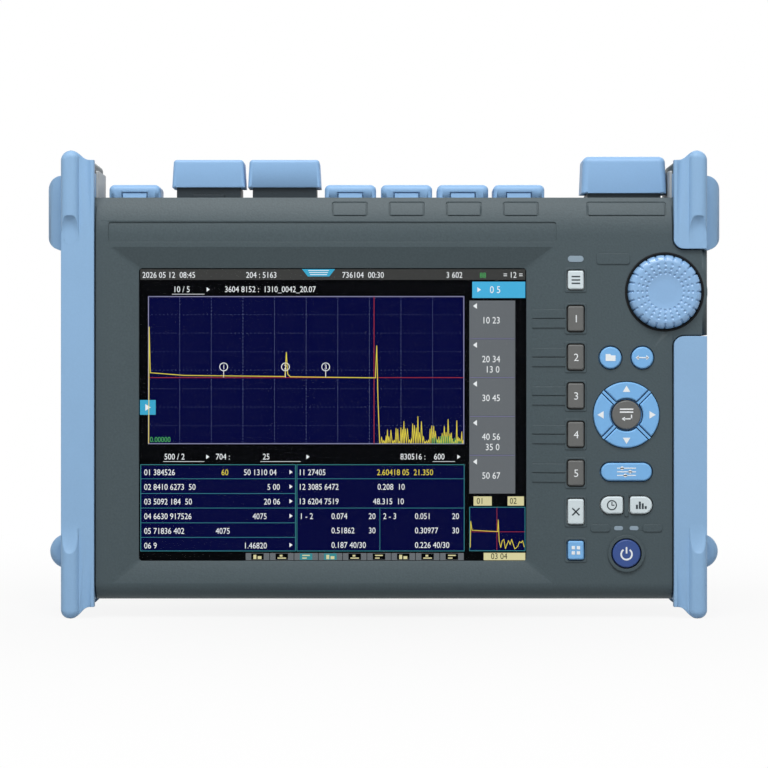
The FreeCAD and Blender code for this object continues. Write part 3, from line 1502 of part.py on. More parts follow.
def make_network_socket():
    x = socket_x(3)
    z0, z1 = io_board_top(), deck_z
    shell = upright(x, ethernet_width, ethernet_height, z0, z1)
    mouth = upright(x, ethernet_mouth_width, ethernet_mouth_height, z1 - ethernet_mouth_depth, z1 + 1)
    latch = box(x - ethernet_key_width / 2, x + ethernet_key_width / 2, port_y,
                port_y + ethernet_mouth_height / 2 + ethernet_key_height, z1 - ethernet_mouth_depth, z1 + 1)
    return shell.cut(mouth).cut(latch)


def make_otdr_module():
    """Sealed optical unit with a neck under each optical cover."""
    first, last = optical_first_x, optical_first_x + optical_pitch
    reach = neck_width / 2 + module_side
    top = deck_z + neck_height
    parts = [box(first - reach, last + reach, neck_front_y, module_back_y, module_low_z, deck_floor_z)]
    for x in (first, last):
        parts.append(box(x - neck_width / 2, x + neck_width / 2, neck_front_y, neck_back_y,
                         deck_floor_z - 1, deck_z + neck_height))
        parts += hinge_lugs(x, *cover_axis(cover_front_y, top), top - 1)
    parts.append(box(first - foot_plate_width / 2, first + foot_plate_width / 2,
                     neck_front_y - foot_plate_proud, neck_front_y + 1,
                     deck_z, deck_z + foot_plate_height))
    bores = [post(adapter_radius - neck_bore_step, x, port_y, top - neck_bore_depth, top + 1)
             for x in (first, last)]
    return fuse(parts).cut(bores).removeSplitter()


def make_option_module():
    """Filler unit under the option cover, with the lugs of its hinge."""
    half = option_neck_width / 2
    top = deck_z + option_neck_height
    front, back = option_front_y + option_neck_inset, option_neck_back()
    body = box(option_x - half, option_x + half, front, back, deck_floor_z - option_drop, top)
    rim = box(option_x - half - option_rim, option_x, front, back, deck_floor_z - option_rim_height,
              deck_floor_z)
    lugs = hinge_lugs(option_x, *cover_axis(option_front_y, top), top - 1)
    return fuse([body, rim] + lugs)


def make_optical_adapters():
    """Round fibre connector adapters on the necks, with a ferrule sleeve in each."""
    base = deck_z + neck_height
    adapters = []
    for i in range(2):
        x = optical_first_x + i * optical_pitch
        f = adapter_flange / 2
        flange = box(x - f, x + f, port_y - f, port_y + f, base, base + adapter_flange_thickness)
        barrel = post(adapter_radius, x, port_y, base, base + adapter_flange_thickness + adapter_height)
        top = base + adapter_flange_thickness + adapter_height
        well = post(adapter_radius - adapter_wall, x, port_y, base + adapter_flange_thickness, top + 1)
        sleeve = post(sleeve_radius, x, port_y, base, top - sleeve_drop)
        bore = post(ferrule_radius, x, port_y, top - sleeve_drop - ferrule_depth, top + 1)
        adapters.append(flange.fuse(barrel).cut(well).fuse(sleeve).cut(bore).removeSplitter())
    return Part.makeCompound(adapters)


def make_hinge_pins():
    pins = []
    for name, x, front, base_z, *sizes in cover_list():
        pins.append(hinge_pin(x, *cover_axis(front, base_z)))
    return Part.makeCompound(pins)


def build():
    hull, hollow = case_hull(), case_hollow()
    nodes = {"front_case": make_front_case(hull, hollow), "rear_case": make_rear_case(hull, hollow)}
    nodes["left_guard"] = make_guard(-1, hull)
    nodes["right_guard"] = make_guard(1, hull)
    nodes["touch_panel"] = make_touch_panel()
    nodes["display_gasket"] = make_gasket()
    nodes["lcd_module"] = make_lcd()
    nodes["chassis_plate"] = make_chassis()
    nodes["chassis_screws"] = make_chassis_screws()
    nodes["main_board"] = make_main_board()
    nodes["key_board"] = make_key_board()
    nodes["key_dome_sheet"] = make_dome_sheet()
    nodes["indicator_lenses"] = make_lenses()
    for name, form in key_forms().items():
        nodes[name] = make_key(form)
    for name, angle in (("key_right", 0), ("key_up", 90), ("key_left", 180), ("key_down", 270)):
        nodes[name] = make_arrow_key(angle)
    nodes["key_enter"] = make_enter_key()
    nodes["arrow_key_divider"] = make_arrow_divider()
    nodes["knob"] = make_knob()
    nodes["encoder_shaft"] = make_encoder_shaft()
    nodes["encoder_plunger"] = make_encoder_plunger()
    nodes["encoder_body"] = make_encoder_body()
    nodes["port_deck"] = make_port_deck()
    nodes["io_board"] = make_io_board()
    nodes["dc_jack"] = make_dc_jack()
    nodes["usb_sockets"] = make_usb_sockets()
    nodes["network_socket"] = make_network_socket()
    nodes["otdr_module"] = make_otdr_module()
    nodes["option_module"] = make_option_module()
    nodes["optical_adapters"] = make_optical_adapters()
    for name, *form in cover_list():
        nodes[name] = make_cover(*form)
    nodes["cover_hinge_pins"] = make_hinge_pins()
    nodes["battery_pack"] = make_battery_pack()
    nodes["battery_cover"] = make_battery_cover()
    nodes["battery_cover_screws"] = make_battery_screws()
    nodes["case_screws"] = make_case_screws()
    nodes["stand"] = make_stand()
    nodes["stand_pin"] = make_stand_pin()
    return nodes


for name, shape in build().items():
    shape.exportStep(f"parts/{name}.step")
    print(name, len(shape.Solids), round(shape.Volume, 1), shape.isValid())
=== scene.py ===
from functools import partial
import json
import math
import random

import bmesh
import bpy
from mathutils import Matrix, Vector


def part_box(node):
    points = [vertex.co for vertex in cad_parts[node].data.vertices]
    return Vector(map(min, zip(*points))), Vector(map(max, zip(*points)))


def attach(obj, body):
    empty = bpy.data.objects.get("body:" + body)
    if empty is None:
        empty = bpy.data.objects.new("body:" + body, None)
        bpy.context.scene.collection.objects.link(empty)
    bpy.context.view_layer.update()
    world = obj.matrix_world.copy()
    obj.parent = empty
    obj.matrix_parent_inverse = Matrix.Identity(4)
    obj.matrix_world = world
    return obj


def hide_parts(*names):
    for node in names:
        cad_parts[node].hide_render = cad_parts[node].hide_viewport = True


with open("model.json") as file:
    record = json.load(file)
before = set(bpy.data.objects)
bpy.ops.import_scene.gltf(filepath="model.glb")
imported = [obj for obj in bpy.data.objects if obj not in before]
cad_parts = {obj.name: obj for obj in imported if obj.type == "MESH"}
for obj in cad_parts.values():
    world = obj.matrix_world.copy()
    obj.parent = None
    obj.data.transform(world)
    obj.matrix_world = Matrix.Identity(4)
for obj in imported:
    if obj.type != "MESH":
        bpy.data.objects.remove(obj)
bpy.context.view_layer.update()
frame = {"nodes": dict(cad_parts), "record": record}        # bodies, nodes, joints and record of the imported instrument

nodes = frame["nodes"]
bodyOf = {node: body for body, members in frame["record"]["behaviour"]["bodies"].items() for node in members}
slotOf = {part["node"]: part["material_slot"] for part in frame["record"]["subparts"]}
mm = 0.001
weldGap = 0.002 * mm       # points nearer than this are one
rooted = 0.02 * mm         # how deep a print or an inset form reaches into its neighbour


# ---- helpers for nodes and meshes

def hexColour(code):
    channels = [int(code[i:i + 2], 16) / 255 for i in (0, 2, 4)]
    linear = [c / 12.92 if c <= 0.04045 else ((c + 0.055) / 1.055) ** 2.4 for c in channels]
    return (*linear, 1.0)


def link(tree, source, socket):
    # a node stands for its first output
    tree.links.new(source.outputs[0] if hasattr(source, "outputs") else source, socket)


def addNode(tree, kind, settings=None, values=None, links=None):
    node = tree.nodes.new(kind)
    for name, value in (settings or {}).items():
        setattr(node, name, value)
    for socket, value in (values or {}).items():
        node.inputs[socket].default_value = value
    for socket, source in (links or {}).items():
        link(tree, source, node.inputs[socket])
    return node


def addMaths(tree, operation, first, second=None, clamp=False):
    # numbers are set on the node, and other nodes or their outputs are linked to it
    node = addNode(tree, "ShaderNodeMath", {"operation": operation, "use_clamp": clamp})
    for i, value in enumerate((first, second)):
        if isinstance(value, (int, float)):
            node.inputs[i].default_value = value
        elif value is not None:
            link(tree, value, node.inputs[i])
    return node


def newMaterial(name, shaderValues):
    material = bpy.data.materials.new(name)
    material.use_nodes = True
    tree = material.node_tree
    shader = tree.nodes["Principled BSDF"]
    for socket, value in shaderValues.items():
        shader.inputs[socket].default_value = value
    return material, tree, shader


def inScene(name, data):
    item = bpy.data.objects.new(name, data)
    bpy.context.scene.collection.objects.link(item)
    return item


def addObject(name, mesh, material):
    piece = inScene(name, mesh)
    mesh.materials.clear()
    mesh.materials.append(material)
    return piece


def plainMesh(piece):
    # the evaluated result becomes the piece's own mesh, and its modifiers go
    graph = bpy.context.evaluated_depsgraph_get()
    mesh = bpy.data.meshes.new_from_object(piece.evaluated_get(graph))
    piece.modifiers.clear()
    piece.data = mesh
    return piece


def meshOf(form, name, outward=True):
    if outward:
        bmesh.ops.recalc_face_normals(form, faces=form.faces)
    mesh = bpy.data.meshes.new(name)
    form.to_mesh(mesh)
    form.free()
    return mesh


def shadeByAngle(mesh, degrees):
    mesh.polygons.foreach_set("use_smooth", [True] * len(mesh.polygons))
    mesh.set_sharp_from_angle(angle=math.radians(degrees))


def startTree(name, sizes, counts=(), onPoints=False):
    # an empty rule with named inputs, and the identifier by which each input is set
    tree = bpy.data.node_groups.new(name, "GeometryNodeTree")
    if onPoints:
        tree.interface.new_socket("Geometry", in_out="INPUT", socket_type="NodeSocketGeometry")
    tree.interface.new_socket("Geometry", in_out="OUTPUT", socket_type="NodeSocketGeometry")
    kinds = [(label, "NodeSocketFloat") for label in sizes] + [(label, "NodeSocketInt") for label in counts]
    sockets = {label: tree.interface.new_socket(label, in_out="INPUT", socket_type=kind).identifier
               for label, kind in kinds}
    return tree, addNode(tree, "NodeGroupInput").outputs, sockets


def endTree(tree, geometry, material):
    real = addNode(tree, "GeometryNodeRealizeInstances", links={"Geometry": geometry})
    coated = addNode(tree, "GeometryNodeSetMaterial", values={"Material": material},
                     links={"Geometry": real})
    addNode(tree, "NodeGroupOutput", links={"Geometry": coated})


def runTree(name, mesh, material, tree, sockets, values):
    # a piece made by the rule, with its inputs set before it is first evaluated
    piece = addObject(name, mesh, material)
    rule = piece.modifiers.new("rule", "NODES")
    rule.node_group = tree
    for label, value in values.items():
        rule[sockets[label]] = value
    return plainMesh(piece)


def place(piece, body, stands=()):
    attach(piece, body)
    if stands:
        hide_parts(*stands)
    return piece


def middle(node):
    low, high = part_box(node)
    return (low + high) / 2


# ---- materials

def toned(colour, factor):
    return tuple(min(1.0, channel * factor) for channel in colour[:3]) + (1.0,)


def addNoise(tree, size, detail=2.0, stretch=None):
    # cells of about this size in mm on the piece, stretched along an axis where wanted
    coords = addNode(tree, "ShaderNodeTexCoord").outputs["Object"]
    if stretch:
        coords = addNode(tree, "ShaderNodeMapping", values={"Scale": stretch}, links={"Vector": coords})
    return addNode(tree, "ShaderNodeTexNoise", values={"Scale": 1 / (size * mm), "Detail": detail},
                   links={"Vector": coords})


def addMix(tree, share, first, second):
    return addNode(tree, "ShaderNodeMixRGB", values={"Color1": first, "Color2": second},
                   links={"Fac": share})


def mouldedPlastic(name, colour, finish, changes=()):
    # finish: sizes of grain, mottle, relief and worn edge in mm, then roughness, gloss and tint as shares
    look = {**finish, **dict(changes)}
    material, tree, shader = newMaterial(name, {
        "Roughness": look["roughness"], "IOR": 1.5, "Specular IOR Level": look["gloss"]})
    grain, mottle = addNoise(tree, look["grain"], 3.0), addNoise(tree, look["mottle"])
    base = hexColour(colour)
    speckle = addMix(tree, grain, toned(base, 1 - look["tint"]), toned(base, 1 + look["tint"]))
    shade = addNode(tree, "ShaderNodeMixRGB", {"blend_type": "MULTIPLY"}, {"Color2": (0.94, 0.94, 0.94, 1.0)},
                    {"Fac": mottle, "Color1": speckle})
    link(tree, shade, shader.inputs["Base Color"])
    edge = addNode(tree, "ShaderNodeBevel", {"samples": 4}, {"Radius": look["edge"] * mm})
    relief = addNode(tree, "ShaderNodeBump", values={"Distance": look["relief"] * mm, "Strength": 0.6},
                     links={"Height": grain, "Normal": edge})
    link(tree, relief, shader.inputs["Normal"])
    return material


sparkFinish = {"grain": 0.9, "mottle": 9.0, "relief": 0.12, "roughness": 0.5, "gloss": 0.3, "tint": 0.2,
               "edge": 0.35}
satinFinish = {"grain": 0.5, "mottle": 14.0, "relief": 0.02, "roughness": 0.36, "gloss": 0.4, "tint": 0.03,
               "edge": 0.3}
rubberFinish = {"grain": 0.7, "mottle": 18.0, "relief": 0.04, "roughness": 0.5, "gloss": 0.3, "tint": 0.04,
                "edge": 0.5}
keyFinish = {"grain": 0.45, "mottle": 5.0, "relief": 0.015, "roughness": 0.36, "gloss": 0.35, "tint": 0.03,
             "edge": 0.2}


def metalSheet(name, colour, roughness, grain):
    # rolled or plated sheet: fine streaks along the rolling direction
    material, tree, shader = newMaterial(name, {"Metallic": 1.0, "Roughness": roughness})
    streak = addNoise(tree, grain, stretch=(1.0, 12.0, 12.0))
    base = hexColour(colour)
    link(tree, addMix(tree, streak, toned(base, 0.85), base), shader.inputs["Base Color"])
    relief = addNode(tree, "ShaderNodeBump", values={"Distance": 0.02 * mm}, links={"Height": streak})
    link(tree, relief, shader.inputs["Normal"])
    return material


def clearPanel(name, smear):
    # anti-reflection coating: the low IOR leaves hardly a mirror image, and wiping leaves its gloss uneven
    material, tree, shader = newMaterial(name, {
        "Base Color": (1.0, 1.0, 1.0, 1.0), "Transmission Weight": 1.0, "IOR": 1.04})
    gloss = addNode(tree, "ShaderNodeMapRange", values={"To Min": 0.01, "To Max": 0.05},
                    links={"Value": addNoise(tree, smear)})
    link(tree, gloss, shader.inputs["Roughness"])
    return material


def litColour(name, colour):
    # a lit area of the display: a dark cell that gives its own light, a little uneven as its back light is
    material, tree, shader = newMaterial(name, {
        "Base Color": (0.001, 0.001, 0.0015, 1.0), "Roughness": 0.6, "Specular IOR Level": 0.0,
        "Emission Strength": 1.0})
    base = hexColour(colour)
    glow = addMix(tree, addNoise(tree, 45, 1.0), toned(base, 0.88), base)
    link(tree, glow, shader.inputs["Emission Color"])
    return material


def solderMask(name, colour, track):
    # fibreglass board under solder mask: a slightly paler grid of tracks shows through
    material, tree, shader = newMaterial(name, {"Roughness": 0.35, "IOR": 1.5})
    coords = addNode(tree, "ShaderNodeTexCoord").outputs["Object"]
    cells = addNode(tree, "ShaderNodeTexVoronoi", {"distance": "CHEBYCHEV"}, {"Scale": 1 / (track * mm)},
                    {"Vector": coords})
    base = hexColour(colour)
    link(tree, addMix(tree, cells, base, toned(base, 1.8)), shader.inputs["Base Color"])
    return material


plastics = {       # by slot: name, colour, finish, and where this one departs from it
    # spark-eroded mould: the dark case has a fine matt sparkle
    "case_plastic": ("moulded ABS, spark texture, slate grey", "445156", sparkFinish),
    "deck_plastic": ("moulded ABS, spark texture, mid grey", "b2b6b7", sparkFinish, {"tint": 0.07}),
    "module_plastic": ("moulded ABS, matt, near black", "242e34", sparkFinish, {"tint": 0.1}),
    # overmoulded elastomer: soft, even sheen without sharp highlights
    "guard_rubber": ("moulded elastomer, sky blue", "8fb5da", rubberFinish),
    "cover_plastic": ("moulded elastomer, satin, sky blue", "8fb7e0", rubberFinish, {"roughness": 0.45}),
    # polished mould: the knob has brighter highlights than the rubber round it
    "knob_plastic": ("moulded polycarbonate, satin, sky blue", "8ab3dd", satinFinish,
                     {"roughness": 0.24, "gloss": 0.6}),
    "key_blue_plastic": ("moulded silicone key, bright blue", "7cb6ea", keyFinish),
    "key_grey_plastic": ("moulded silicone key, graphite", "666766", keyFinish),
    "key_light_plastic": ("moulded silicone key, pale grey", "d6e2e6", keyFinish),
    "key_navy_plastic": ("moulded silicone key, navy", "35508f", keyFinish),
    "lens_plastic": ("moulded polycarbonate, frosted", "8c9fad", satinFinish, {"roughness": 0.3}),
    "black_foam": ("closed-cell foam, black", "101214", sparkFinish, {"relief": 0.2, "roughness": 0.9}),
    "dome_rubber": ("moulded silicone, translucent grey", "a9b0b2", keyFinish),
    "connector_black": ("moulded nylon, black", "17191b", satinFinish),
    "battery_shrink": ("PVC shrink sleeve, graphite", "2e3337", satinFinish, {"roughness": 0.3}),
    "display_black": ("display housing, black", "0b0d10", satinFinish)}
slotMaterials = {name: mouldedPlastic(*look) for name, look in plastics.items()}
slotMaterials["sheet_metal"] = metalSheet("zinc-plated steel sheet", "b9bcbf", 0.32, 0.8)
slotMaterials["screw_steel"] = metalSheet("blackened screw steel", "5c6063", 0.38, 0.5)
slotMaterials["connector_metal"] = metalSheet("nickel-plated brass", "cfc9bd", 0.24, 0.6)
slotMaterials["circuit_board"] = solderMask("solder mask on fibreglass", "1d5a35", 2.54)
slotMaterials["touch_glass"] = clearPanel("coated touch panel, anti-reflection", 40.0)
printWhite = mouldedPlastic("screen print, white", "f2f6f8", keyFinish, {"relief": 0.005})
printDark = mouldedPlastic("screen print, dark slate", "2c383e", keyFinish, {"relief": 0.005})

for nodeName, nodeObject in nodes.items():
    for materialSlot in nodeObject.material_slots:
        materialSlot.link = "OBJECT"
        materialSlot.material = slotMaterials[slotOf[nodeName]]
print("materials on", len(nodes), "construction nodes")


# ---- moulded pieces: the construction's own forms with soft edges

bandSizes = {"reach": 7.0 * mm, "steps": 14, "skin": 1.3 * mm}


def softenBand(form):
    # the leaning band along the top runs into the upright face in a wide curve and on up to its rim
    form.normal_update()
    levels = {}
    for face in form.faces:
        if face.normal.y < -0.999:
            level = round(face.calc_center_median().y, 5)
            levels[level] = levels.get(level, 0) + face.calc_area()
    front = max(levels, key=levels.get)
    band = max((f for f in form.faces if f.normal.y < -0.8 and 0.3 < f.normal.z < 0.6),
               key=lambda f: f.calc_area())
    slope = -band.normal.z / band.normal.y
    spot = band.calc_center_median()
    bend = spot.z - (spot.y - front) / slope
    reach, top = bandSizes["reach"], max(v.co.z for v in band.verts)
    edge = max(abs(v.co.x) for v in band.verts)
    cuts = [((0, 0, bend - reach + 2 * reach * step / bandSizes["steps"]), (0, 0, 1))
            for step in range(bandSizes["steps"] + 1)]
    cuts += [((side * (edge + past), 0, 0), (1, 0, 0)) for side in (-1, 1) for past in (0.2 * mm, 0.6 * mm)]
    for spot, way in cuts:
        everything = form.verts[:] + form.edges[:] + form.faces[:]
        bmesh.ops.bisect_plane(form, geom=everything, dist=weldGap / 2, plane_co=spot, plane_no=way)
    for vert in form.verts:
        y, z = vert.co.y, vert.co.z
        line = front + max(0.0, z - bend) * slope
        if abs(z - bend) < reach and abs(y - line) < bandSizes["skin"]:
            vert.co.y += slope * (z - bend + reach) ** 2 / (4 * reach) - (line - front)
        elif z > top and y < line and abs(vert.co.x) < edge + 0.3 * mm:
            vert.co.y += (z - top) * slope


def mouldedCopy(node, name, smooth, bevel=0.0):
    mesh = bpy.data.meshes.new_from_object(nodes[node])
    form = bmesh.new()
    form.from_mesh(mesh)
    bmesh.ops.remove_doubles(form, verts=form.verts, dist=weldGap)
    bmesh.ops.dissolve_limit(form, angle_limit=math.radians(0.6), verts=form.verts, edges=form.edges)
    if node == "front_case":
        softenBand(form)
    form.to_mesh(mesh)
    form.free()
    piece = addObject(name, mesh, slotMaterials[slotOf[node]])
    if node in ("left_guard", "right_guard"):
        carveGuard(piece, node)
    if bevel:
        rounding = piece.modifiers.new("soft edges", "BEVEL")
        rounding.width = bevel * mm
        rounding.segments = 3
        rounding.limit_method = "ANGLE"
        rounding.angle_limit = math.radians(30)
        plainMesh(piece)
    shadeByAngle(piece.data, smooth)
    weights = piece.modifiers.new("even faces", "WEIGHTED_NORMAL")
    weights.keep_sharp = True
    return place(piece, bodyOf[node], [node])


# in mm: the corner columns' half width and crest, how far they stand proud and how deep they are rooted
guardSizes = {"columnHalf": 4.08, "crestHalf": 0.78, "proud": 2.5, "root": 4.3, "run": 13.6, "rings": 24,
              "across": 22, "fadeRadius": 80.0,
              "cheek": {"in": 1.0, "out": 5.3, "fore": 3.4, "aft": 0.4, "down": 6},
              "ends": ({"height": 178.8, "way": -1, "rise": 7.0, "radius": 5.0, "bow": 0.5},
                       {"height": 29.0, "way": 1, "rise": 13.0, "radius": 9.0, "bow": 0.85})}


def joinRings(form, rings):
    for near, far in zip(rings, rings[1:]):
        for i in range(len(near)):
            j = (i + 1) % len(near)
            form.faces.new((near[i], near[j], far[j], far[i]))


def addRings(form, rings):
    # closed solid through rings of equal count
    layers = [[form.verts.new(spot) for spot in ring] for ring in rings]
    joinRings(form, layers)
    form.faces.new(layers[0][::-1])
    form.faces.new(layers[-1])


def carveGuard(piece, node):
    # each corner column ends in a rounded arch that runs out into the flat of the guard
    size, low, high = guardSizes, *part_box(node)
    crest = [v.co.x for v in nodes[node].data.vertices if v.co.y < low.y + 0.03 * mm]
    centre = (min(crest) + max(crest)) / 2
    ends, hollows = bmesh.new(), bmesh.new()
    arc = size["columnHalf"] - size["crestHalf"]
    for toward, tip in ((-1, low.y), (1, high.y)):
        back = tip - toward * size["root"] * mm
        turns = [math.radians(6 * i) for i in range(16)]
        half = [(size["crestHalf"] + arc * math.sin(t), arc - arc * math.cos(t) + 0.02) for t in turns]
        profile = [(-u, d) for u, d in reversed(half)] + half
        for end in size["ends"]:
            start, way, column = end["height"], end["way"], []
            for step in range(13):
                along = -1.5 + (size["run"] + 1.5) * step / 12
                z = (start + way * along) * mm
                sunk = max(0.0, along / size["run"]) ** 2 * (size["proud"] + 0.3)
                column.append([(centre + u * mm, tip - toward * (d + sunk) * mm, z) for u, d in profile]
                              + [(centre + side * size["columnHalf"] * mm, back, z) for side in (1, -1)])
            addRings(ends, column)
            rings = []
            for i in range(size["rings"] + 1):
                along = (size["run"] + 0.4) * (i / size["rings"]) ** 1.6
                left = max(0.0, 1 - along / end["rise"])
                rise = size["proud"] * (1 - (1 - left ** 2) ** end["bow"])
                z = (start + way * along) * mm
                radius = end["radius"] + (size["fadeRadius"] - end["radius"]) * (along / size["run"]) ** 3
                width = min(6.0, 0.985 * radius)
                ring = []
                for k in range(size["across"] + 1):
                    u = width * (2 * k / size["across"] - 1)
                    depth = size["proud"] - rise - radius + math.sqrt(radius ** 2 - u ** 2)
                    ring.append((centre + u * mm, tip - toward * depth * mm, z))
                ring += [(centre + side * width * mm, tip + toward * 0.02, z) for side in (1, -1)]
                rings.append(ring)
            addRings(hollows, rings)
    # the inner corner of the cheek stays free of rubber
    side = 1 if centre > 0 else -1
    faceEdge, (caseLow, caseHigh) = abs(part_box("port_deck")[0].x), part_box("front_case")
    cheek = {name: length * mm for name, length in size["cheek"].items()}
    x0, x1 = side * (faceEdge - cheek["in"]), side * (faceEdge + cheek["out"])
    y0, y1 = caseLow.y + cheek["fore"], caseHigh.y + cheek["aft"]
    z0, z1 = caseHigh.z - cheek["down"], caseHigh.z + rooted
    addRings(hollows, [[(x0, y0, z), (x1, y0, z), (x1, y1, z), (x0, y1, z)] for z in (z0, z1)])
    for operation, form in (("UNION", ends), ("DIFFERENCE", hollows)):
        tool = inScene("tool", meshOf(form, "tool"))
        step = piece.modifiers.new("arches", "BOOLEAN")
        step.operation, step.solver, step.object = operation, "EXACT", tool
        plainMesh(piece)
        bpy.data.objects.remove(tool)


mouldings = {      # name of the piece, and the angle in degrees up to which it is shaded smooth
    "front_case": ("front_shell", 32.0), "rear_case": ("rear_shell", 32.0), "left_guard": ("left_bumper", 24.0),
    "right_guard": ("right_bumper", 24.0), "port_deck": ("deck_plate", 35.0), "stand": ("folding_stand", 35.0),
    "battery_cover": ("battery_lid", 35.0), "arrow_key_divider": ("key_divider", 40.0)}
for node, (pieceName, smoothAngle) in mouldings.items():
    mouldedCopy(node, pieceName, smoothAngle)
for node in sorted(nodes):
    if node.startswith("cover_") and node != "cover_hinge_pins":
        mouldedCopy(node, node.replace("cover_", "flap_"), 42.0)
    if node.startswith("key_") and node not in ("key_board", "key_dome_sheet"):
        mouldedCopy(node, node + "_cap", 60.0, bevel=0.12)
print("moulded pieces done")


# ---- flat work: prisms between two depths, from outlines in x and z

def prismMesh(name, outlines, front, back):
    # every outline runs once round a simple shape, in metres
    form = bmesh.new()
    for outline in outlines:
        near = [form.verts.new((x, front, z)) for x, z in outline]
        far = [form.verts.new((x, back, z)) for x, z in outline]
        form.faces.new(near)
        form.faces.new(far[::-1])
        joinRings(form, [far, near])
    return meshOf(form, name)


def bar(x0, z0, x1, z1):
    return [(x0, z0), (x1, z0), (x1, z1), (x0, z1)]


def stroke(start, end, width):
    # straight stroke with square ends
    run = Vector((end[0] - start[0], end[1] - start[1])).normalized() * (width / 2)
    ax, az = start[0] - run.x, start[1] - run.y
    bx, bz = end[0] + run.x, end[1] + run.y
    return [(ax + run.y, az - run.x), (bx + run.y, bz - run.x),
            (bx - run.y, bz + run.x), (ax - run.y, az + run.x)]


def onCircle(centre, radius, angles):
    return [(centre[0] + radius * math.cos(a), centre[1] + radius * math.sin(a)) for a in angles]


def arcBand(centre, radius, width, startAngle, endAngle, steps=24):
    angles = [math.radians(startAngle + (endAngle - startAngle) * i / steps) for i in range(steps + 1)]
    return onCircle(centre, radius + width / 2, angles) + onCircle(centre, radius - width / 2, angles[::-1])


def disc(centre, radius, steps=24):
    return onCircle(centre, radius, [2 * math.pi * i / steps for i in range(steps)])


def ringHalves(centre, radius, width):
    return [arcBand(centre, radius, width, 0, 180), arcBand(centre, radius, width, 180, 360)]


def digitMeshes(entries, front, thickness):
    # entries: numerals, x and z of the left foot, height, and how far they are squeezed across
    form = bmesh.new()
    for text, x, z, height, squeeze in entries:
        curve = bpy.data.curves.new("numerals", "FONT")
        curve.body = text
        curve.size = height * 1.4
        curve.extrude = thickness / 2
        curve.resolution_u = 3
        writing = inScene("numerals", curve)
        graph = bpy.context.evaluated_depsgraph_get()
        mesh = bpy.data.meshes.new_from_object(writing.evaluated_get(graph))
        upright = Matrix.Rotation(math.radians(90), 4, "X") @ Matrix.Diagonal((squeeze, 1, 1, 1))
        mesh.transform(Matrix.Translation((x, front + thickness / 2, z)) @ upright)
        form.from_mesh(mesh)
        bpy.data.objects.remove(writing)
        bpy.data.curves.remove(curve)
        bpy.data.meshes.remove(mesh)
    bmesh.ops.remove_doubles(form, verts=form.verts, dist=0.0005 * mm)
    return meshOf(form, "numerals", outward=False)


# ---- prints on the keys: plain numerals and simple signs, each rides on its key

printSizes = {"thick": 0.05 * mm, "line": 0.62 * mm, "numeral": 3.4 * mm, "arrowReach": 11.3 * mm}


def offset(shapes, x, z):
    return [[(px + x, pz + z) for px, pz in shape] for shape in shapes]


def scaled(shapes, factor):
    return [[(px * factor, pz * factor) for px, pz in shape] for shape in shapes]


def triangleSign(angle, size):
    across, up = math.cos(math.radians(angle)), math.sin(math.radians(angle))
    corners = [(0.62, 0.0), (-0.42, 0.62), (-0.42, -0.62)]
    return [[(size * (x * across - z * up), size * (x * up + z * across)) for x, z in corners]]


arrowTurns = {"key_right": 0, "key_up": 90, "key_left": 180, "key_down": 270}
w = printSizes["line"] / mm
keySigns = {       # in mm about the middle of the key
    "key_menu": [bar(-1.9, z - w / 2, 1.9, z + w / 2) for z in (-1.5, 0, 1.5)],
    "key_escape": [stroke((-1.4, -1.4), (1.4, 1.4), w), stroke((-1.4, 1.4), (-0.2, 0.2), w),
                   stroke((0.2, -0.2), (1.4, -1.4), w)],
    "key_utility": [bar(x - 0.75, z - 0.75, x + 0.75, z + 0.75) for x in (-1.15, 1.15) for z in (-1.15, 1.15)],
    "key_file": [[(-2.2, -1.5), (2.2, -1.5), (2.2, 1.0), (0.3, 1.0), (-0.2, 1.6), (-2.2, 1.6)]],
    "key_scale": [stroke((-2.0, 0), (2.0, 0), w * 0.8), [(-3.0, 0), (-1.7, -1.1), (-1.7, 1.1)],
                  [(3.0, 0), (1.7, 1.1), (1.7, -1.1)]],
    "key_setup": [bar(-4.2, z - 0.22, 4.2, z + 0.22) for z in (-1.6, 0, 1.6)]
    + [disc((x, z), 0.8) for x, z in ((-2.0, 1.6), (1.6, 0), (-0.6, -1.6))],
    "key_realtime": ringHalves((0, 0), 2.0, 0.5)
    + [stroke((0, 0.1), (0, 1.2), 0.45), stroke((0.1, 0), (0.9, 0), 0.45)],
    "key_average": [bar(x - 0.45, -1.7, x + 0.45, top)
                    for x, top in ((-1.9, 0.2), (-0.6, 1.6), (0.7, 0.8), (2.0, -0.4))],
    **{key: triangleSign(turn, 2.7) for key, turn in arrowTurns.items()},
    "key_enter": [bar(-3.0, 0.9, 3.0, 1.5), bar(-3.0, 2.2, 3.0, 2.8), stroke((2.2, -0.2), (2.2, -1.8), 0.55),
                  stroke((2.1, -1.8), (-0.8, -1.8), 0.55), [(-2.2, -1.8), (-0.7, -2.8), (-0.7, -0.8)]],
    "key_power": [arcBand((0, -0.3), 2.4, 0.75, 125, 415, 32), bar(-0.38, 0.0, 0.38, 2.9)]}
darkPrints = ("key_menu", "key_escape", "key_realtime", "key_average")


def keyPrint(key, mesh, material):
    place(addObject(key + "_print", mesh, material), bodyOf[key])


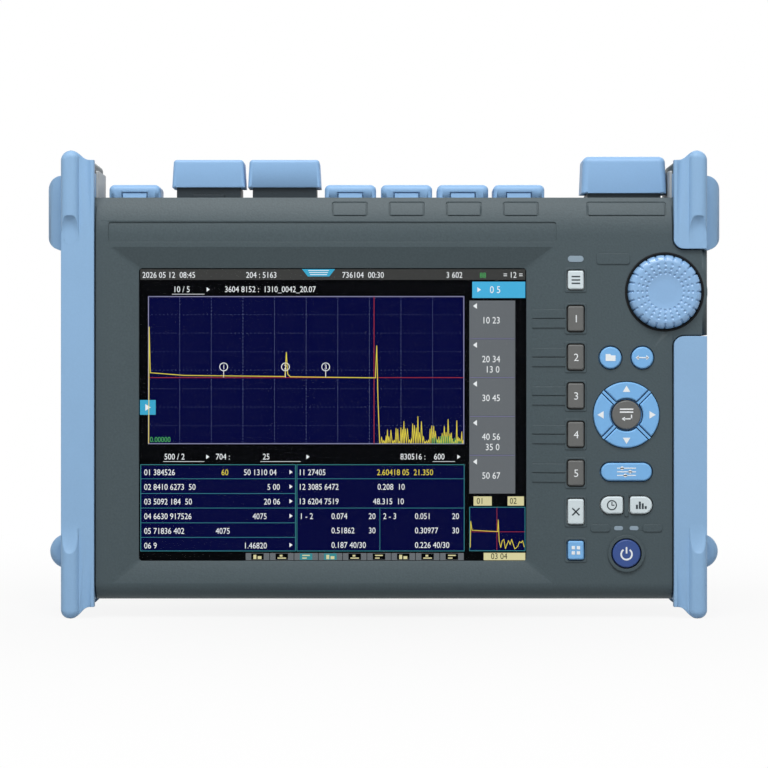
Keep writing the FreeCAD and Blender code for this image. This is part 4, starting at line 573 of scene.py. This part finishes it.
for key, shapes in keySigns.items():
    centre = middle(key)
    if key in arrowTurns:
        turn = math.radians(arrowTurns[key])
        centre = middle("key_enter") + Vector((math.cos(turn), 0, math.sin(turn))) * printSizes["arrowReach"]
    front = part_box(key)[0].y
    outlines = offset(scaled(shapes, mm), centre.x, centre.z)
    mesh = prismMesh(key, outlines, front - printSizes["thick"], front + rooted)
    keyPrint(key, mesh, printDark if key in darkPrints else printWhite)
for number in range(1, 6):
    key = f"key_f{number}"
    centre, front, height = middle(key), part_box(key)[0].y, printSizes["numeral"]
    mesh = digitMeshes([(str(number), centre.x - 0.3 * height, centre.z - height / 2, height, 1.0)],
                       front - printSizes["thick"], printSizes["thick"] + rooted)
    keyPrint(key, mesh, printWhite)
print("key prints done")


# ---- knob: one form that follows a rule, in Geometry Nodes

knobSizes = {"columns": 24, "samples": 16, "rows": 150, "dimpleRings": (8.3 * mm, 10.3 * mm, 12.2 * mm),
             "dimpleSwell": 0.6, "grooveSwell": 0.7, "grooveRun": 0.5 * mm, "backStart": 0.8}
knobInputs = {"Dimple Size": 0.66 * mm, "Dimple Depth": 0.5 * mm, "Groove Width": 0.5 * mm,
              "Groove Depth": 0.7 * mm, "Groove Start": 14.0 * mm}
# share of the outer radius and share of the depth, from the middle of the front to the middle of the back
knobProfile = [(0.0, 0.10), (0.30, 0.095), (0.44, 0.07), (0.56, 0.03), (0.70, 0.0), (0.80, 0.0), (0.885, 0.03),
               (0.955, 0.11), (0.99, 0.24), (1.0, 0.40), (1.0, 0.97), (0.985, 1.0), (0.5, 1.0), (0.0, 1.0)]


def knobTree():
    tree, given, sockets = startTree("knob by rule", ("Outer Radius", "Depth", *knobInputs))
    maths = partial(addMaths, tree)
    columns, samples, rows = knobSizes["columns"], knobSizes["samples"], knobSizes["rows"]
    sheet = addNode(tree, "GeometryNodeMeshGrid", values={
        "Size X": 1.0, "Size Y": 1.0, "Vertices X": columns * samples + 1, "Vertices Y": rows + 1})
    spot = addNode(tree, "ShaderNodeSeparateXYZ",
                   links={"Vector": addNode(tree, "GeometryNodeInputPosition")})
    across, along = maths("ADD", spot.outputs["X"], 0.5), maths("ADD", spot.outputs["Y"], 0.5)
    shapes = []
    for part in (0, 1):           # radius, then depth, as curves of the run along the profile
        curve = addNode(tree, "ShaderNodeFloatCurve", links={"Value": along})
        line, run = curve.mapping.curves[0], profileRun()
        for _ in run[2:]:
            line.points.new(0.5, 0.5)
        for point, distance, shares in zip(line.points, run, knobProfile):
            point.location = (distance, shares[part])
            point.handle_type = "AUTO_CLAMPED"
        curve.mapping.update()
        shapes.append(curve)
    radius = maths("MULTIPLY", shapes[0], given["Outer Radius"])
    depth = maths("MULTIPLY", shapes[1], given["Depth"])
    turn = maths("MULTIPLY", across, 2 * math.pi)
    # distance round the knob from the nearest column line
    share = maths("SUBTRACT", maths("FRACT", maths("ADD", maths("MULTIPLY", across, columns), 0.5)), 0.5)
    aside = maths("ABSOLUTE", maths("MULTIPLY", share, maths("MULTIPLY", radius, 2 * math.pi / columns)))
    facing = maths("LESS_THAN", along, knobSizes["backStart"])      # keeps the dimples off the back
    sunk = 0.0
    for ring in knobSizes["dimpleRings"]:
        out = maths("ABSOLUTE", maths("SUBTRACT", radius, ring))
        gap = maths("SQRT", maths("ADD", maths("MULTIPLY", out, out), maths("MULTIPLY", aside, aside)))
        near = maths("SUBTRACT", 1.0, maths("DIVIDE", gap, given["Dimple Size"]), clamp=True)
        soft = maths("MULTIPLY", maths("POWER", near, knobSizes["dimpleSwell"]), facing)
        sunk = maths("ADD", sunk, maths("MULTIPLY", soft, given["Dimple Depth"]))
    inGroove = maths("SUBTRACT", 1.0, maths("DIVIDE", aside, given["Groove Width"]), clamp=True)
    past = maths("SUBTRACT", radius, given["Groove Start"])
    fromStart = maths("DIVIDE", past, knobSizes["grooveRun"], clamp=True)
    foreSkirt = maths("LESS_THAN", depth, maths("MULTIPLY", given["Depth"], 0.5))
    carved = maths("MULTIPLY", maths("POWER", inGroove, knobSizes["grooveSwell"]), given["Groove Depth"])
    groove = maths("MULTIPLY", carved, maths("MULTIPLY", fromStart, foreSkirt))
    finalRadius = maths("SUBTRACT", radius, groove)
    finalDepth = maths("ADD", maths("ADD", depth, sunk), maths("MULTIPLY", groove, 0.5))
    surface = addNode(tree, "ShaderNodeCombineXYZ", links={
        "X": maths("MULTIPLY", finalRadius, maths("COSINE", turn)), "Y": finalDepth,
        "Z": maths("MULTIPLY", finalRadius, maths("SINE", turn))})
    bent = addNode(tree, "GeometryNodeSetPosition", links={"Geometry": sheet, "Position": surface})
    joined = addNode(tree, "GeometryNodeMergeByDistance", values={"Distance": 0.004 * mm},
                     links={"Geometry": bent})
    smooth = addNode(tree, "GeometryNodeSetShadeSmooth", links={"Geometry": joined})
    endTree(tree, smooth, slotMaterials["knob_plastic"])
    return tree, sockets


def profileRun():
    # share of the profile's length at each of its points
    low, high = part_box("knob")
    reach, deep = (high.x - low.x) / 2, high.y - low.y
    spots = [Vector((r * reach, d * deep)) for r, d in knobProfile]
    run = [0.0]
    for a, b in zip(spots, spots[1:]):
        share = 1.0 if a.y < deep * 0.3 else 0.15      # most rows go to the front, which is seen
        run.append(run[-1] + (b - a).length * share)
    return [distance / run[-1] for distance in run]


def makeKnob():
    low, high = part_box("knob")
    mesh = bpy.data.meshes.new("rotary_knob")
    piece = runTree("rotary_knob", mesh, slotMaterials["knob_plastic"], *knobTree(), {
        "Outer Radius": (high.x - low.x) / 2 - rooted, "Depth": high.y - low.y - rooted, **knobInputs})
    centre = middle("knob")
    piece.data.transform(Matrix.Translation((centre.x, low.y + rooted, centre.z)))
    form = bmesh.new()
    form.from_mesh(piece.data)
    bmesh.ops.recalc_face_normals(form, faces=form.faces)
    form.to_mesh(piece.data)
    form.free()
    place(piece, bodyOf["knob"], ["knob"])


ringSizes = {"inner": 16.62 * mm, "outer": 17.55 * mm, "sunk": 0.5 * mm, "thick": 2.4 * mm, "sides": 120}


def makeDustRing():
    # black ring, made as foam, just under the face in the gap round the knob: painted shade, a dark sheet
    # standing where the deep gap has only shade
    spot, front = middle("knob"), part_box("front_case")[0].y + ringSizes["sunk"]
    inner, outer, back = ringSizes["inner"], ringSizes["outer"], front + ringSizes["thick"]
    corner = 0.2 * mm
    profile = [(inner, front + corner), (inner + corner, front), (outer - corner, front),
               (outer, front + corner), (outer, back), (inner, back)]
    form = bmesh.new()
    turns = [2 * math.pi * i / ringSizes["sides"] for i in range(ringSizes["sides"])]
    loops = [[form.verts.new((spot.x + r * math.cos(t), y, spot.z + r * math.sin(t))) for t in turns]
             for r, y in profile]
    joinRings(form, loops + loops[:1])
    mesh = meshOf(form, "knob_shade_ring")
    shadeByAngle(mesh, 50)
    place(addObject("knob_shade_ring", mesh, slotMaterials["black_foam"]), "root")


makeKnob()
# painted shade: a black ring darkens the gap round the knob
makeDustRing()
print("knob done")


# ---- screws: heads with a round recess, set on the points of their node's own pieces

screwSizes = {"sides": 36, "chamfer": 0.25 * mm, "rim": 0.9, "recessShare": 0.5, "recessDepth": 0.9 * mm}


def screwTree():
    tree, given, sockets = startTree("screws on points", (
        "Head Radius", "Head Height", "Shank Radius", "Shank Length", "Chamfer", "Recess Depth"), onPoints=True)
    ring = addNode(tree, "GeometryNodeMeshCircle", {"fill_type": "NGON"}, {"Vertices": screwSizes["sides"]},
                   {"Radius": given["Head Radius"]})
    # the turned form step by step: push the top face out, then scale it
    body = addMaths(tree, "SUBTRACT", given["Head Height"], given["Chamfer"])
    down = addMaths(tree, "MULTIPLY", given["Recess Depth"], -1.0)
    mesh, top = ring, None
    for out, scale in ((body, 1.0), (given["Chamfer"], screwSizes["rim"]),
                       (None, screwSizes["recessShare"] / screwSizes["rim"]), (down, 1.0)):
        push = addNode(tree, "GeometryNodeExtrudeMesh", {"mode": "FACES"},
                       {"Individual": False, "Offset Scale": 0.0}, {"Mesh": mesh})
        for socket, source in (("Selection", top), ("Offset Scale", out)):
            if source:
                link(tree, source, push.inputs[socket])
        top = push.outputs["Top"]
        mesh = addNode(tree, "GeometryNodeScaleElements", values={"Scale": scale},
                       links={"Geometry": push, "Selection": top})
    foot = addNode(tree, "GeometryNodeMeshCylinder", {"fill_type": "NGON"}, {"Vertices": 20},
                   {"Radius": given["Shank Radius"], "Depth": given["Shank Length"]})
    sink = addMaths(tree, "MULTIPLY", given["Shank Length"], -0.5)
    lower = addNode(tree, "ShaderNodeCombineXYZ", links={"Z": sink})
    shank = addNode(tree, "GeometryNodeTransform", links={"Geometry": foot, "Translation": lower})
    both = addNode(tree, "GeometryNodeJoinGeometry")
    link(tree, mesh, both.inputs["Geometry"])
    link(tree, shank, both.inputs["Geometry"])
    spread = addNode(tree, "GeometryNodeInstanceOnPoints", values={"Rotation": (math.radians(-90), 0.0, 0.0)},
                     links={"Points": given["Geometry"], "Instance": both})
    endTree(tree, spread, slotMaterials["screw_steel"])
    return tree, sockets


def looseParts(node):
    # lowest and highest corner of each separate solid in a node
    form = bmesh.new()
    form.from_mesh(nodes[node].data)
    bmesh.ops.remove_doubles(form, verts=form.verts, dist=weldGap)
    left, spans = set(form.verts), []
    while left:
        group, edge = set(), [left.pop()]
        while edge:
            vert = edge.pop()
            group.add(vert)
            for link in vert.link_edges:
                other = link.other_vert(vert)
                if other in left:
                    left.remove(other)
                    edge.append(other)
        spots = [v.co for v in group]
        spans.append((Vector([min(c[i] for c in spots) for i in range(3)]),
                      Vector([max(c[i] for c in spots) for i in range(3)])))
    form.free()
    return spans


def makeScrews(node, name, headHeight, shankRadius):
    spans = sorted(looseParts(node), key=lambda span: (round(span[0].x, 5), round(span[0].z, 5)))
    seats = [((a.x + b.x) / 2, b.y - headHeight, (a.z + b.z) / 2) for a, b in spans]
    mesh = bpy.data.meshes.new(name)
    mesh.from_pydata(seats, [], [])
    low, high = spans[0]
    piece = runTree(name, mesh, slotMaterials["screw_steel"], *screwTree(), {
        "Head Radius": (high.x - low.x) / 2, "Head Height": headHeight, "Shank Radius": shankRadius,
        "Shank Length": high.y - headHeight - low.y, "Chamfer": screwSizes["chamfer"],
        "Recess Depth": min(screwSizes["recessDepth"], headHeight * 0.7)})
    shadeByAngle(piece.data, 30)
    place(piece, bodyOf[node], [node])


makeScrews("case_screws", "case_screw_set", 2.0 * mm, 1.4 * mm)
makeScrews("battery_cover_screws", "battery_screw_set", 1.2 * mm, 1.3 * mm)
print("screws done")


# ---- the display's picture: thin lit inlays between the panel and the glass

glassLow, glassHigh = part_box("touch_panel")
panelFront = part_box("lcd_module")[0].y
screen = {"hidden": 3.0 * mm, "thick": 0.04 * mm, "step": 0.06 * mm,
          "plot": (3.8, 12.4, 145.1, 78.5), "columns": 10, "rows": 8,
          "cursorColumn": 104.8, "cursorRow": 48.8, "numeral": 2.7,
          "sideLeft": 147.4, "sideRight": 167.9, "sideTop": 14.1, "sideStep": 17.35,
          "tableFoot": 92.4, "tableStep": 6.55, "iconLeft": 47.3, "iconStep": 10.86}
screenLeft, screenTop = glassLow.x + screen["hidden"], glassHigh.z - screen["hidden"]
screenWidth = (glassHigh.x - glassLow.x - 2 * screen["hidden"]) / mm
screenHeight = (glassHigh.z - glassLow.z - 2 * screen["hidden"]) / mm

lit = {name: litColour("display, lit " + name, code) for name, code in (
    ("black", "050607"), ("charcoal", "3f403f"), ("navy", "06093a"), ("grid", "5f6894"), ("border", "8f90b4"),
    ("white", "eef2f4"), ("yellow", "e3d24a"), ("red", "a8323a"), ("cyan", "3fa9cf"), ("teal", "3c8c94"),
    ("green", "4fae62"), ("grey", "696e72"), ("sky", "4ab3e0"), ("cream", "d9d3a2"))}


def onScreen(shapes):
    # from mm right of and under the picture's upper left corner to the frame
    return [[(screenLeft + u * mm, screenTop - v * mm) for u, v in shape] for shape in shapes]


def pictured(name, mesh, colour):
    place(addObject("picture_" + name, mesh, lit[colour]), "root")


def inlay(name, colour, layer, shapes):
    back = panelFront - layer * screen["step"]
    pictured(name, prismMesh(name, onScreen(shapes), back - screen["thick"], back), colour)


def screenDigits(name, colour, layer, entries):
    # entries: numerals, left edge and foot in mm on the picture, and a height where it is not the usual one
    back = panelFront - layer * screen["step"]
    spots = [(text, screenLeft + u * mm, screenTop - v * mm, (*height, screen["numeral"])[0] * mm, 0.86)
             for text, u, v, *height in entries]
    pictured(name, digitMeshes(spots, back - screen["thick"], screen["thick"]), colour)


def block(u0, v0, u1, v1):
    return [(u0, v1), (u1, v1), (u1, v0), (u0, v0)]


def polyline(points, width):
    return [stroke(a, b, width) for a, b in zip(points, points[1:]) if a != b]


def frameLines(u0, v0, u1, v1, width):
    return [block(u0, v0, u1, v0 + width), block(u0, v1 - width, u1, v1),
            block(u0, v0 + width, u0 + width, v1 - width), block(u1 - width, v0 + width, u1, v1 - width)]


def sideRow(number):
    return screen["sideTop"] + screen["sideStep"] * number


def makePicture():
    plot, left, right = screen["plot"], screen["sideLeft"], screen["sideRight"]
    margin, row, column = screen["hidden"] / mm * 0.6, screen["cursorRow"], screen["cursorColumn"]
    overview = (left, 106.6, 172.4, 126.3)
    inlay("ground", "black", 0, [block(-margin, -1.5, screenWidth + 1.5, screenHeight + 1.5)])
    inlay("title_bar", "charcoal", 1, [block(0.3, 0.3, screenWidth - 0.3, 5.1)])
    inlay("plot_ground", "navy", 1, [
        block(*plot), block(*overview), block(0.6, 88.2, 69.6, 126.2), block(70.4, 88.2, 145.0, 126.2)])
    inlay("side_panel", "grey", 1,
          [block(left, sideRow(i) + 0.25, right, sideRow(i + 1) - 0.25) for i in range(5)])
    inlay("side_header", "sky", 1, [block(148.7, 5.9, 172.4, 13.2)])
    inlay("side_rules", "border", 2,
          [block(left, sideRow(i) - 0.12, right, sideRow(i) + 0.12) for i in range(1, 5)])
    inlay("side_arrows", "white", 2,
          [[(149.0, v), (150.8, v - 1.3), (150.8, v + 1.3)] for v in (16.8, 34.2, 51.6, 69.0, 86.4)]
          + [[(151.0, 8.4), (152.6, 9.5), (151.0, 10.6)]])
    inlay("plot_frame", "border", 3, frameLines(*plot, 0.35))
    inlay("table_frame", "teal", 2,
          frameLines(0.4, 87.6, 69.8, 126.4, 0.25) + frameLines(70.2, 87.6, 145.2, 126.4, 0.25)
          + [block(0.6, v, 69.6, v + 0.2) for v in (93.9, 100.5, 107.0, 113.6, 120.1)]
          + [block(70.4, v, 145.0, v + 0.2) for v in (93.9, 107.0)] + [block(107.3, 107.2, 107.5, 126.2)])
    inlay("cursor", "red", 4, [
        block(plot[0], row - 0.12, plot[2], row + 0.12), block(column - 0.14, plot[1], column + 0.14, plot[3]),
        block(147.6, 117.6, 172.2, 117.8), block(159.6, 106.8, 159.8, 126.1)])
    inlay("overview_frame", "teal", 3, frameLines(*overview, 0.25))
    inlay("tabs", "cyan", 3,
          [block(0.2, 58.8, 7.2, 65.4), [(72.6, 0.3), (75.2, 3.6), (84.8, 3.6), (87.4, 0.3)]])
    inlay("tab_signs", "white", 4, [[(2.6, 60.6), (2.6, 63.6), (5.0, 62.1)]]
          + [block(75.4 + 0.4 * i, 0.8 + 0.9 * i, 84.6 - 0.4 * i, 1.1 + 0.9 * i) for i in range(3)])
    inlay("cream_tags", "cream", 2, [block(149.3, 101.9, 157.4, 106.0), block(164.5, 101.9, 171.8, 106.0),
          block(153.8, 127.1, 172.4, 130.4)])
    makeGrid(plot)
    makeTrace(plot)
    makeReadouts()
    makeIcons()


def gridTree():
    # small marks on the crossings and along the rows of a measuring grid
    tree, given, sockets = startTree(
        "grid marks", ("Width", "Height", "Mark Width", "Mark Height", "Thickness"),
        counts=("Marks Across", "Marks Down"))
    grid = addNode(tree, "GeometryNodeMeshGrid", links={
        "Size X": given["Width"], "Size Y": given["Height"],
        "Vertices X": given["Marks Across"], "Vertices Y": given["Marks Down"]})
    size = addNode(tree, "ShaderNodeCombineXYZ", links={
        "X": given["Mark Width"], "Y": given["Mark Height"], "Z": given["Thickness"]})
    mark = addNode(tree, "GeometryNodeMeshCube", links={"Size": size})
    spread = addNode(tree, "GeometryNodeInstanceOnPoints", links={"Points": grid, "Instance": mark})
    endTree(tree, spread, lit["grid"])
    return tree, sockets


def makeGrid(plot):
    tree, sockets = gridTree()
    width, height = plot[2] - plot[0], plot[3] - plot[1]
    columns, rows = screen["columns"], screen["rows"]
    patterns = {      # marks across and down, and the size of one mark
        "picture_grid_rows": (columns * 8 + 1, rows - 1, width, height * (rows - 2) / rows, 0.55, 0.16),
        "picture_grid_columns": (columns - 1, 45, width * (columns - 2) / columns, height - 1.5, 0.16, 0.9)}
    depth = panelFront - 2 * screen["step"] - screen["thick"] / 2
    centre = Vector((screenLeft + (plot[0] + plot[2]) / 2 * mm, depth,
                     screenTop - (plot[1] + plot[3]) / 2 * mm))
    upright = Matrix.Translation(centre) @ Matrix.Rotation(math.radians(90), 4, "X")
    for name, (across, down, wide, high, markWide, markHigh) in patterns.items():
        piece = runTree(name, bpy.data.meshes.new(name), lit["grid"], tree, sockets, {
            "Width": wide * mm, "Height": high * mm, "Mark Width": markWide * mm, "Mark Height": markHigh * mm,
            "Thickness": screen["thick"], "Marks Across": across, "Marks Down": down})
        piece.data.transform(upright)
        place(piece, "root")


def makeTrace(plot):
    # backscatter trace: launch spike, slow fall, two reflections, then the noise floor
    chance = random.Random(7)
    line, foot = 0.32, plot[3] - 0.4
    fibre = [(plot[0] + 0.3, foot), (plot[0] + 0.5, 26.2), (plot[0] + 1.0, 46.6), (20.0, 47.8), (65.0, 48.3),
             (65.6, 37.6), (66.2, 47.2), (67.4, 48.4), (105.4, 48.9), (106.0, 34.6),
             (106.6, 60.0), (107.3, foot)]
    noise, u = [], 107.8
    while u < plot[2] - 0.6:
        height = chance.uniform(0.6, 14.5) * (0.45 + 0.55 * chance.random())
        noise += [(u, foot), (u + 0.35, foot - height)]
        u += chance.uniform(0.55, 0.95)
    noise.append((plot[2] - 0.5, foot))
    overview = [(147.8, 124.6), (148.0, 113.0), (148.6, 117.0), (156.0, 117.4), (160.0, 117.6),
                (160.3, 112.4), (160.7, 121.8)]
    while overview[-1][0] < 171.6:
        overview.append((overview[-1][0] + 0.7, chance.uniform(121.0, 125.4)))
    inlay("trace", "yellow", 5,
          polyline(fibre, line) + polyline(noise, line * 0.85) + polyline(overview, 0.28))
    inlay("trace_end", "green", 6, [stroke((u, foot), (u, foot - chance.uniform(0.8, 3.4)), 0.35)
          for u in [131.0 + 0.9 * i for i in range(15)]])
    rings = []
    for u in (37.6, 65.2, 83.2):
        rings += ringHalves((u, 44.0), 1.75, 0.3) + [stroke((u, 46.0), (u, 48.6), 0.25)]
    inlay("marker_rings", "white", 5, rings)


def makeReadouts():
    # plain numerals stand where the display of such an instrument has its readings
    white = [("2026 05 12  08:45", 1.2, 4.2), ("204 : 5163", 47.5, 4.2), ("736104  00:30", 90.5, 4.2),
             ("3 602", 137.0, 4.2), ("= 12 =", 162.5, 4.2), ("10 / 5", 15.0, 10.6),
             ("3604 8152 :  1310_0042_20.07", 38.0, 10.6), ("1", 37.0, 45.1, 2.2), ("2", 64.5, 45.1, 2.2),
             ("3", 82.5, 45.1, 2.2), ("500 / 2", 11.0, 85.4), ("704 :", 34.0, 85.4), ("25", 55.0, 85.4),
             ("830516 :", 116.5, 85.4), ("600", 131.5, 85.4)]
    rows = [("01 384526", "50 1310 04", 46.5), ("02 8410 6273  50", "5 00", 57.0),
            ("03 5092 184  50", "20 06", 55.5), ("04 6630 917526", "4075", 50.5),
            ("05 71836 402", "4075", 34.0), ("06 9", "1.46820", 46.5)]
    for i, (label, value, left) in enumerate(rows):
        foot = screen["tableFoot"] + screen["tableStep"] * i
        white += [(label, 2.0, foot), (value, left, foot)]
    white += [("11 27405", 71.0, 92.4), ("12 3085 6472", 71.0, 98.9), ("0.208  10", 106.3, 98.9),
              ("13 6204 7519", 71.0, 105.4), ("48.315  10", 104.3, 105.4)]
    for pair, left, loss, length, slope in (
            ("1 - 2", 71.5, "0.074", "0.51862", "0.187"), ("2 - 3", 108.8, "0.051", "0.30977", "0.226")):
        value, unit = left + 14.2, left + 30.8
        white += [(pair, left, 112.0), (loss, value, 112.0), ("20", unit, 112.0), (length, value, 118.4),
                  ("30", unit, 118.4), (slope + " 40/30", value, 124.9)]
    for i in range(5):
        white.append((f"{i + 1}0 {i + 2}{i + 3}", 153.0, 24.6 + screen["sideStep"] * i, 3.0))
        if i % 2:
            white.append((f"{i}{i + 2} 0", 154.5, 29.2 + screen["sideStep"] * i, 3.0))
    screenDigits("numerals_white", "white", 5, white)
    screenDigits("numerals_yellow", "yellow", 5, [("2.60418 05  21.350", 106.0, 92.4), ("60", 36.5, 92.4)])
    screenDigits("numerals_green", "green", 6, [("0.00000", 4.6, 77.6, 2.4), ("88", 152.0, 4.2, 2.4)])
    screenDigits("numerals_dark", "black", 4,
                 [("01", 150.6, 105.2), ("02", 165.4, 105.2), ("03 04", 157.0, 129.9)])
    screenDigits("numerals_header", "white", 4, [("0 5", 156.5, 11.0, 3.2)])
    inlay("underlines", "white", 4, [block(u0, v, u1, v + 0.2) for u0, u1, v in (
        (10.6, 29.0, 86.2), (54.0, 72.0, 86.2), (131.0, 141.0, 86.2), (14.5, 29.0, 11.4))])
    inlay("row_arrows", "white", 5,
          [[(67.0, v - 1.0), (68.4, v), (67.0, v + 1.0)] for v in (91.0, 97.5, 104.0, 110.6, 123.6)]
          + [[(u, v - 1.0), (u + 1.4, v), (u, v + 1.0)]
             for u, v in ((30.0, 9.4), (29.8, 84.2), (74.6, 84.2), (142.0, 84.2))])


def makeIcons():
    # strip of tiles under the tables, each with a dark or a lit box and a small sign
    pitch = screen["iconStep"]
    starts = [screen["iconLeft"] + pitch * i for i in range(9)]
    boxes = [block(u + 2.6, 127.4, u + 8.2, 130.2) for u in starts]
    inlay("icon_tiles", "grey", 2, [block(u + 0.15, 127.2, u + pitch - 0.15, 130.4) for u in starts])
    inlay("icon_boxes", "black", 3, boxes[:2] + boxes[4:])
    inlay("icon_lamps", "teal", 3, boxes[2:4])
    inlay("icon_signs", "cream", 4, [shape for i, u in enumerate(starts) for shape in iconSign(u + 3.3, i)])


def iconSign(u, kind):
    # small signs of the lower strip: bars, steps and boxes in turn
    if kind % 3 == 0:
        return [block(u + 0.3, 128.0, u + 1.6, 129.9), block(u + 2.2, 128.6, u + 3.9, 129.9)]
    if kind % 3 == 1:
        return [block(u + 0.2, 129.2, u + 4.0, 129.7), block(u + 1.2, 128.0, u + 2.4, 128.8)]
    return [block(u + 0.4, 128.0, u + 3.8, 128.5), block(u + 0.4, 129.2, u + 2.4, 129.7)]


makePicture()
print("display picture done")


# ---- stage, light and camera

stage = {"floorSize": 6.0, "fadeRadius": 0.6, "shadowShare": 0.16, "worldLight": 0.25, "paperTone": 0.5}


def whiteForEyes(tree):
    # 1 for rays that show the surroundings: straight to the eye, mirrored or through glass
    path = addNode(tree, "ShaderNodeLightPath").outputs
    seen = addMaths(tree, "MAXIMUM", path["Is Camera Ray"], path["Is Glossy Ray"])
    return addMaths(tree, "MAXIMUM", seen, path["Is Transmission Ray"])


def makeStage():
    size = stage["floorSize"]
    mesh = bpy.data.meshes.new("studio_floor")
    mesh.from_pydata([(-size, -size, 0), (size, -size, 0), (size, size, 0), (-size, size, 0)], [],
                     [(0, 1, 2, 3)])
    material = bpy.data.materials.new("studio paper, white")
    material.use_nodes = True
    tree = material.node_tree
    tree.nodes.clear()
    coords = addNode(tree, "ShaderNodeTexCoord").outputs["Object"]
    centred = addNode(tree, "ShaderNodeMapping", values={"Scale": (1 / stage["fadeRadius"],) * 3},
                      links={"Vector": coords})
    near = addNode(tree, "ShaderNodeTexGradient", {"gradient_type": "QUADRATIC_SPHERE"},
                   links={"Vector": centred})
    keep = addMaths(tree, "MULTIPLY", near.outputs["Fac"], stage["shadowShare"])
    share = addMaths(tree, "MULTIPLY", addMaths(tree, "SUBTRACT", 1.0, keep), whiteForEyes(tree))
    paper = addNode(tree, "ShaderNodeBsdfDiffuse", values={"Color": (stage["paperTone"],) * 3 + (1.0,)})
    glow = addNode(tree, "ShaderNodeEmission", values={"Color": (1, 1, 1, 1), "Strength": 1.0})
    mix = addNode(tree, "ShaderNodeMixShader", links={"Fac": share, 1: paper, 2: glow})
    addNode(tree, "ShaderNodeOutputMaterial", links={"Surface": mix})
    floor = addObject("studio_floor", mesh, material)


def makeWorld():
    world = bpy.data.worlds.new("studio")
    bpy.context.scene.world = world
    world.use_nodes = True
    tree = world.node_tree
    tree.nodes.clear()
    light, white = (addNode(tree, "ShaderNodeBackground", values={"Color": (1, 1, 1, 1), "Strength": strength})
                    for strength in (stage["worldLight"], 1.0))
    mix = addNode(tree, "ShaderNodeMixShader", links={"Fac": whiteForEyes(tree), 1: light, 2: white})
    addNode(tree, "ShaderNodeOutputWorld", links={"Surface": mix})


lamps = {          # place, width, height and power in watts
    "overhead softbox": ((-0.12, -0.72, 1.25), 0.9, 0.5, 15.5),
    "high front fill": ((0.35, -1.7, 1.5), 1.1, 0.7, 9.5),
    "rear fill": ((0.4, 1.6, 0.95), 1.0, 0.7, 6.0)}
view = {"place": (0.0, -1.136, 0.1041), "lens": 116.0, "sensor": 36.0, "lampTarget": (0.0, 0.0, 0.11)}


def softBox(name, spot, width, height, power):
    lamp = bpy.data.lights.new(name, "AREA")
    lamp.shape = "RECTANGLE"
    lamp.size, lamp.size_y, lamp.energy = width, height, power
    box = inScene(name, lamp)
    box.location = spot
    box.rotation_euler = (Vector(view["lampTarget"]) - Vector(spot)).to_track_quat("-Z", "Y").to_euler()


def makeCamera():
    lens = bpy.data.cameras.new("front view")
    lens.lens, lens.sensor_width = view["lens"], view["sensor"]
    camera = inScene("front view", lens)
    camera.location = view["place"]
    camera.rotation_euler = (math.radians(90), 0, 0)
    bpy.context.scene.camera = camera


makeStage()
makeWorld()
for name, sizes in lamps.items():
    softBox(name, *sizes)
makeCamera()
bpy.context.scene.view_settings.view_transform = "Standard"
print("stage done")
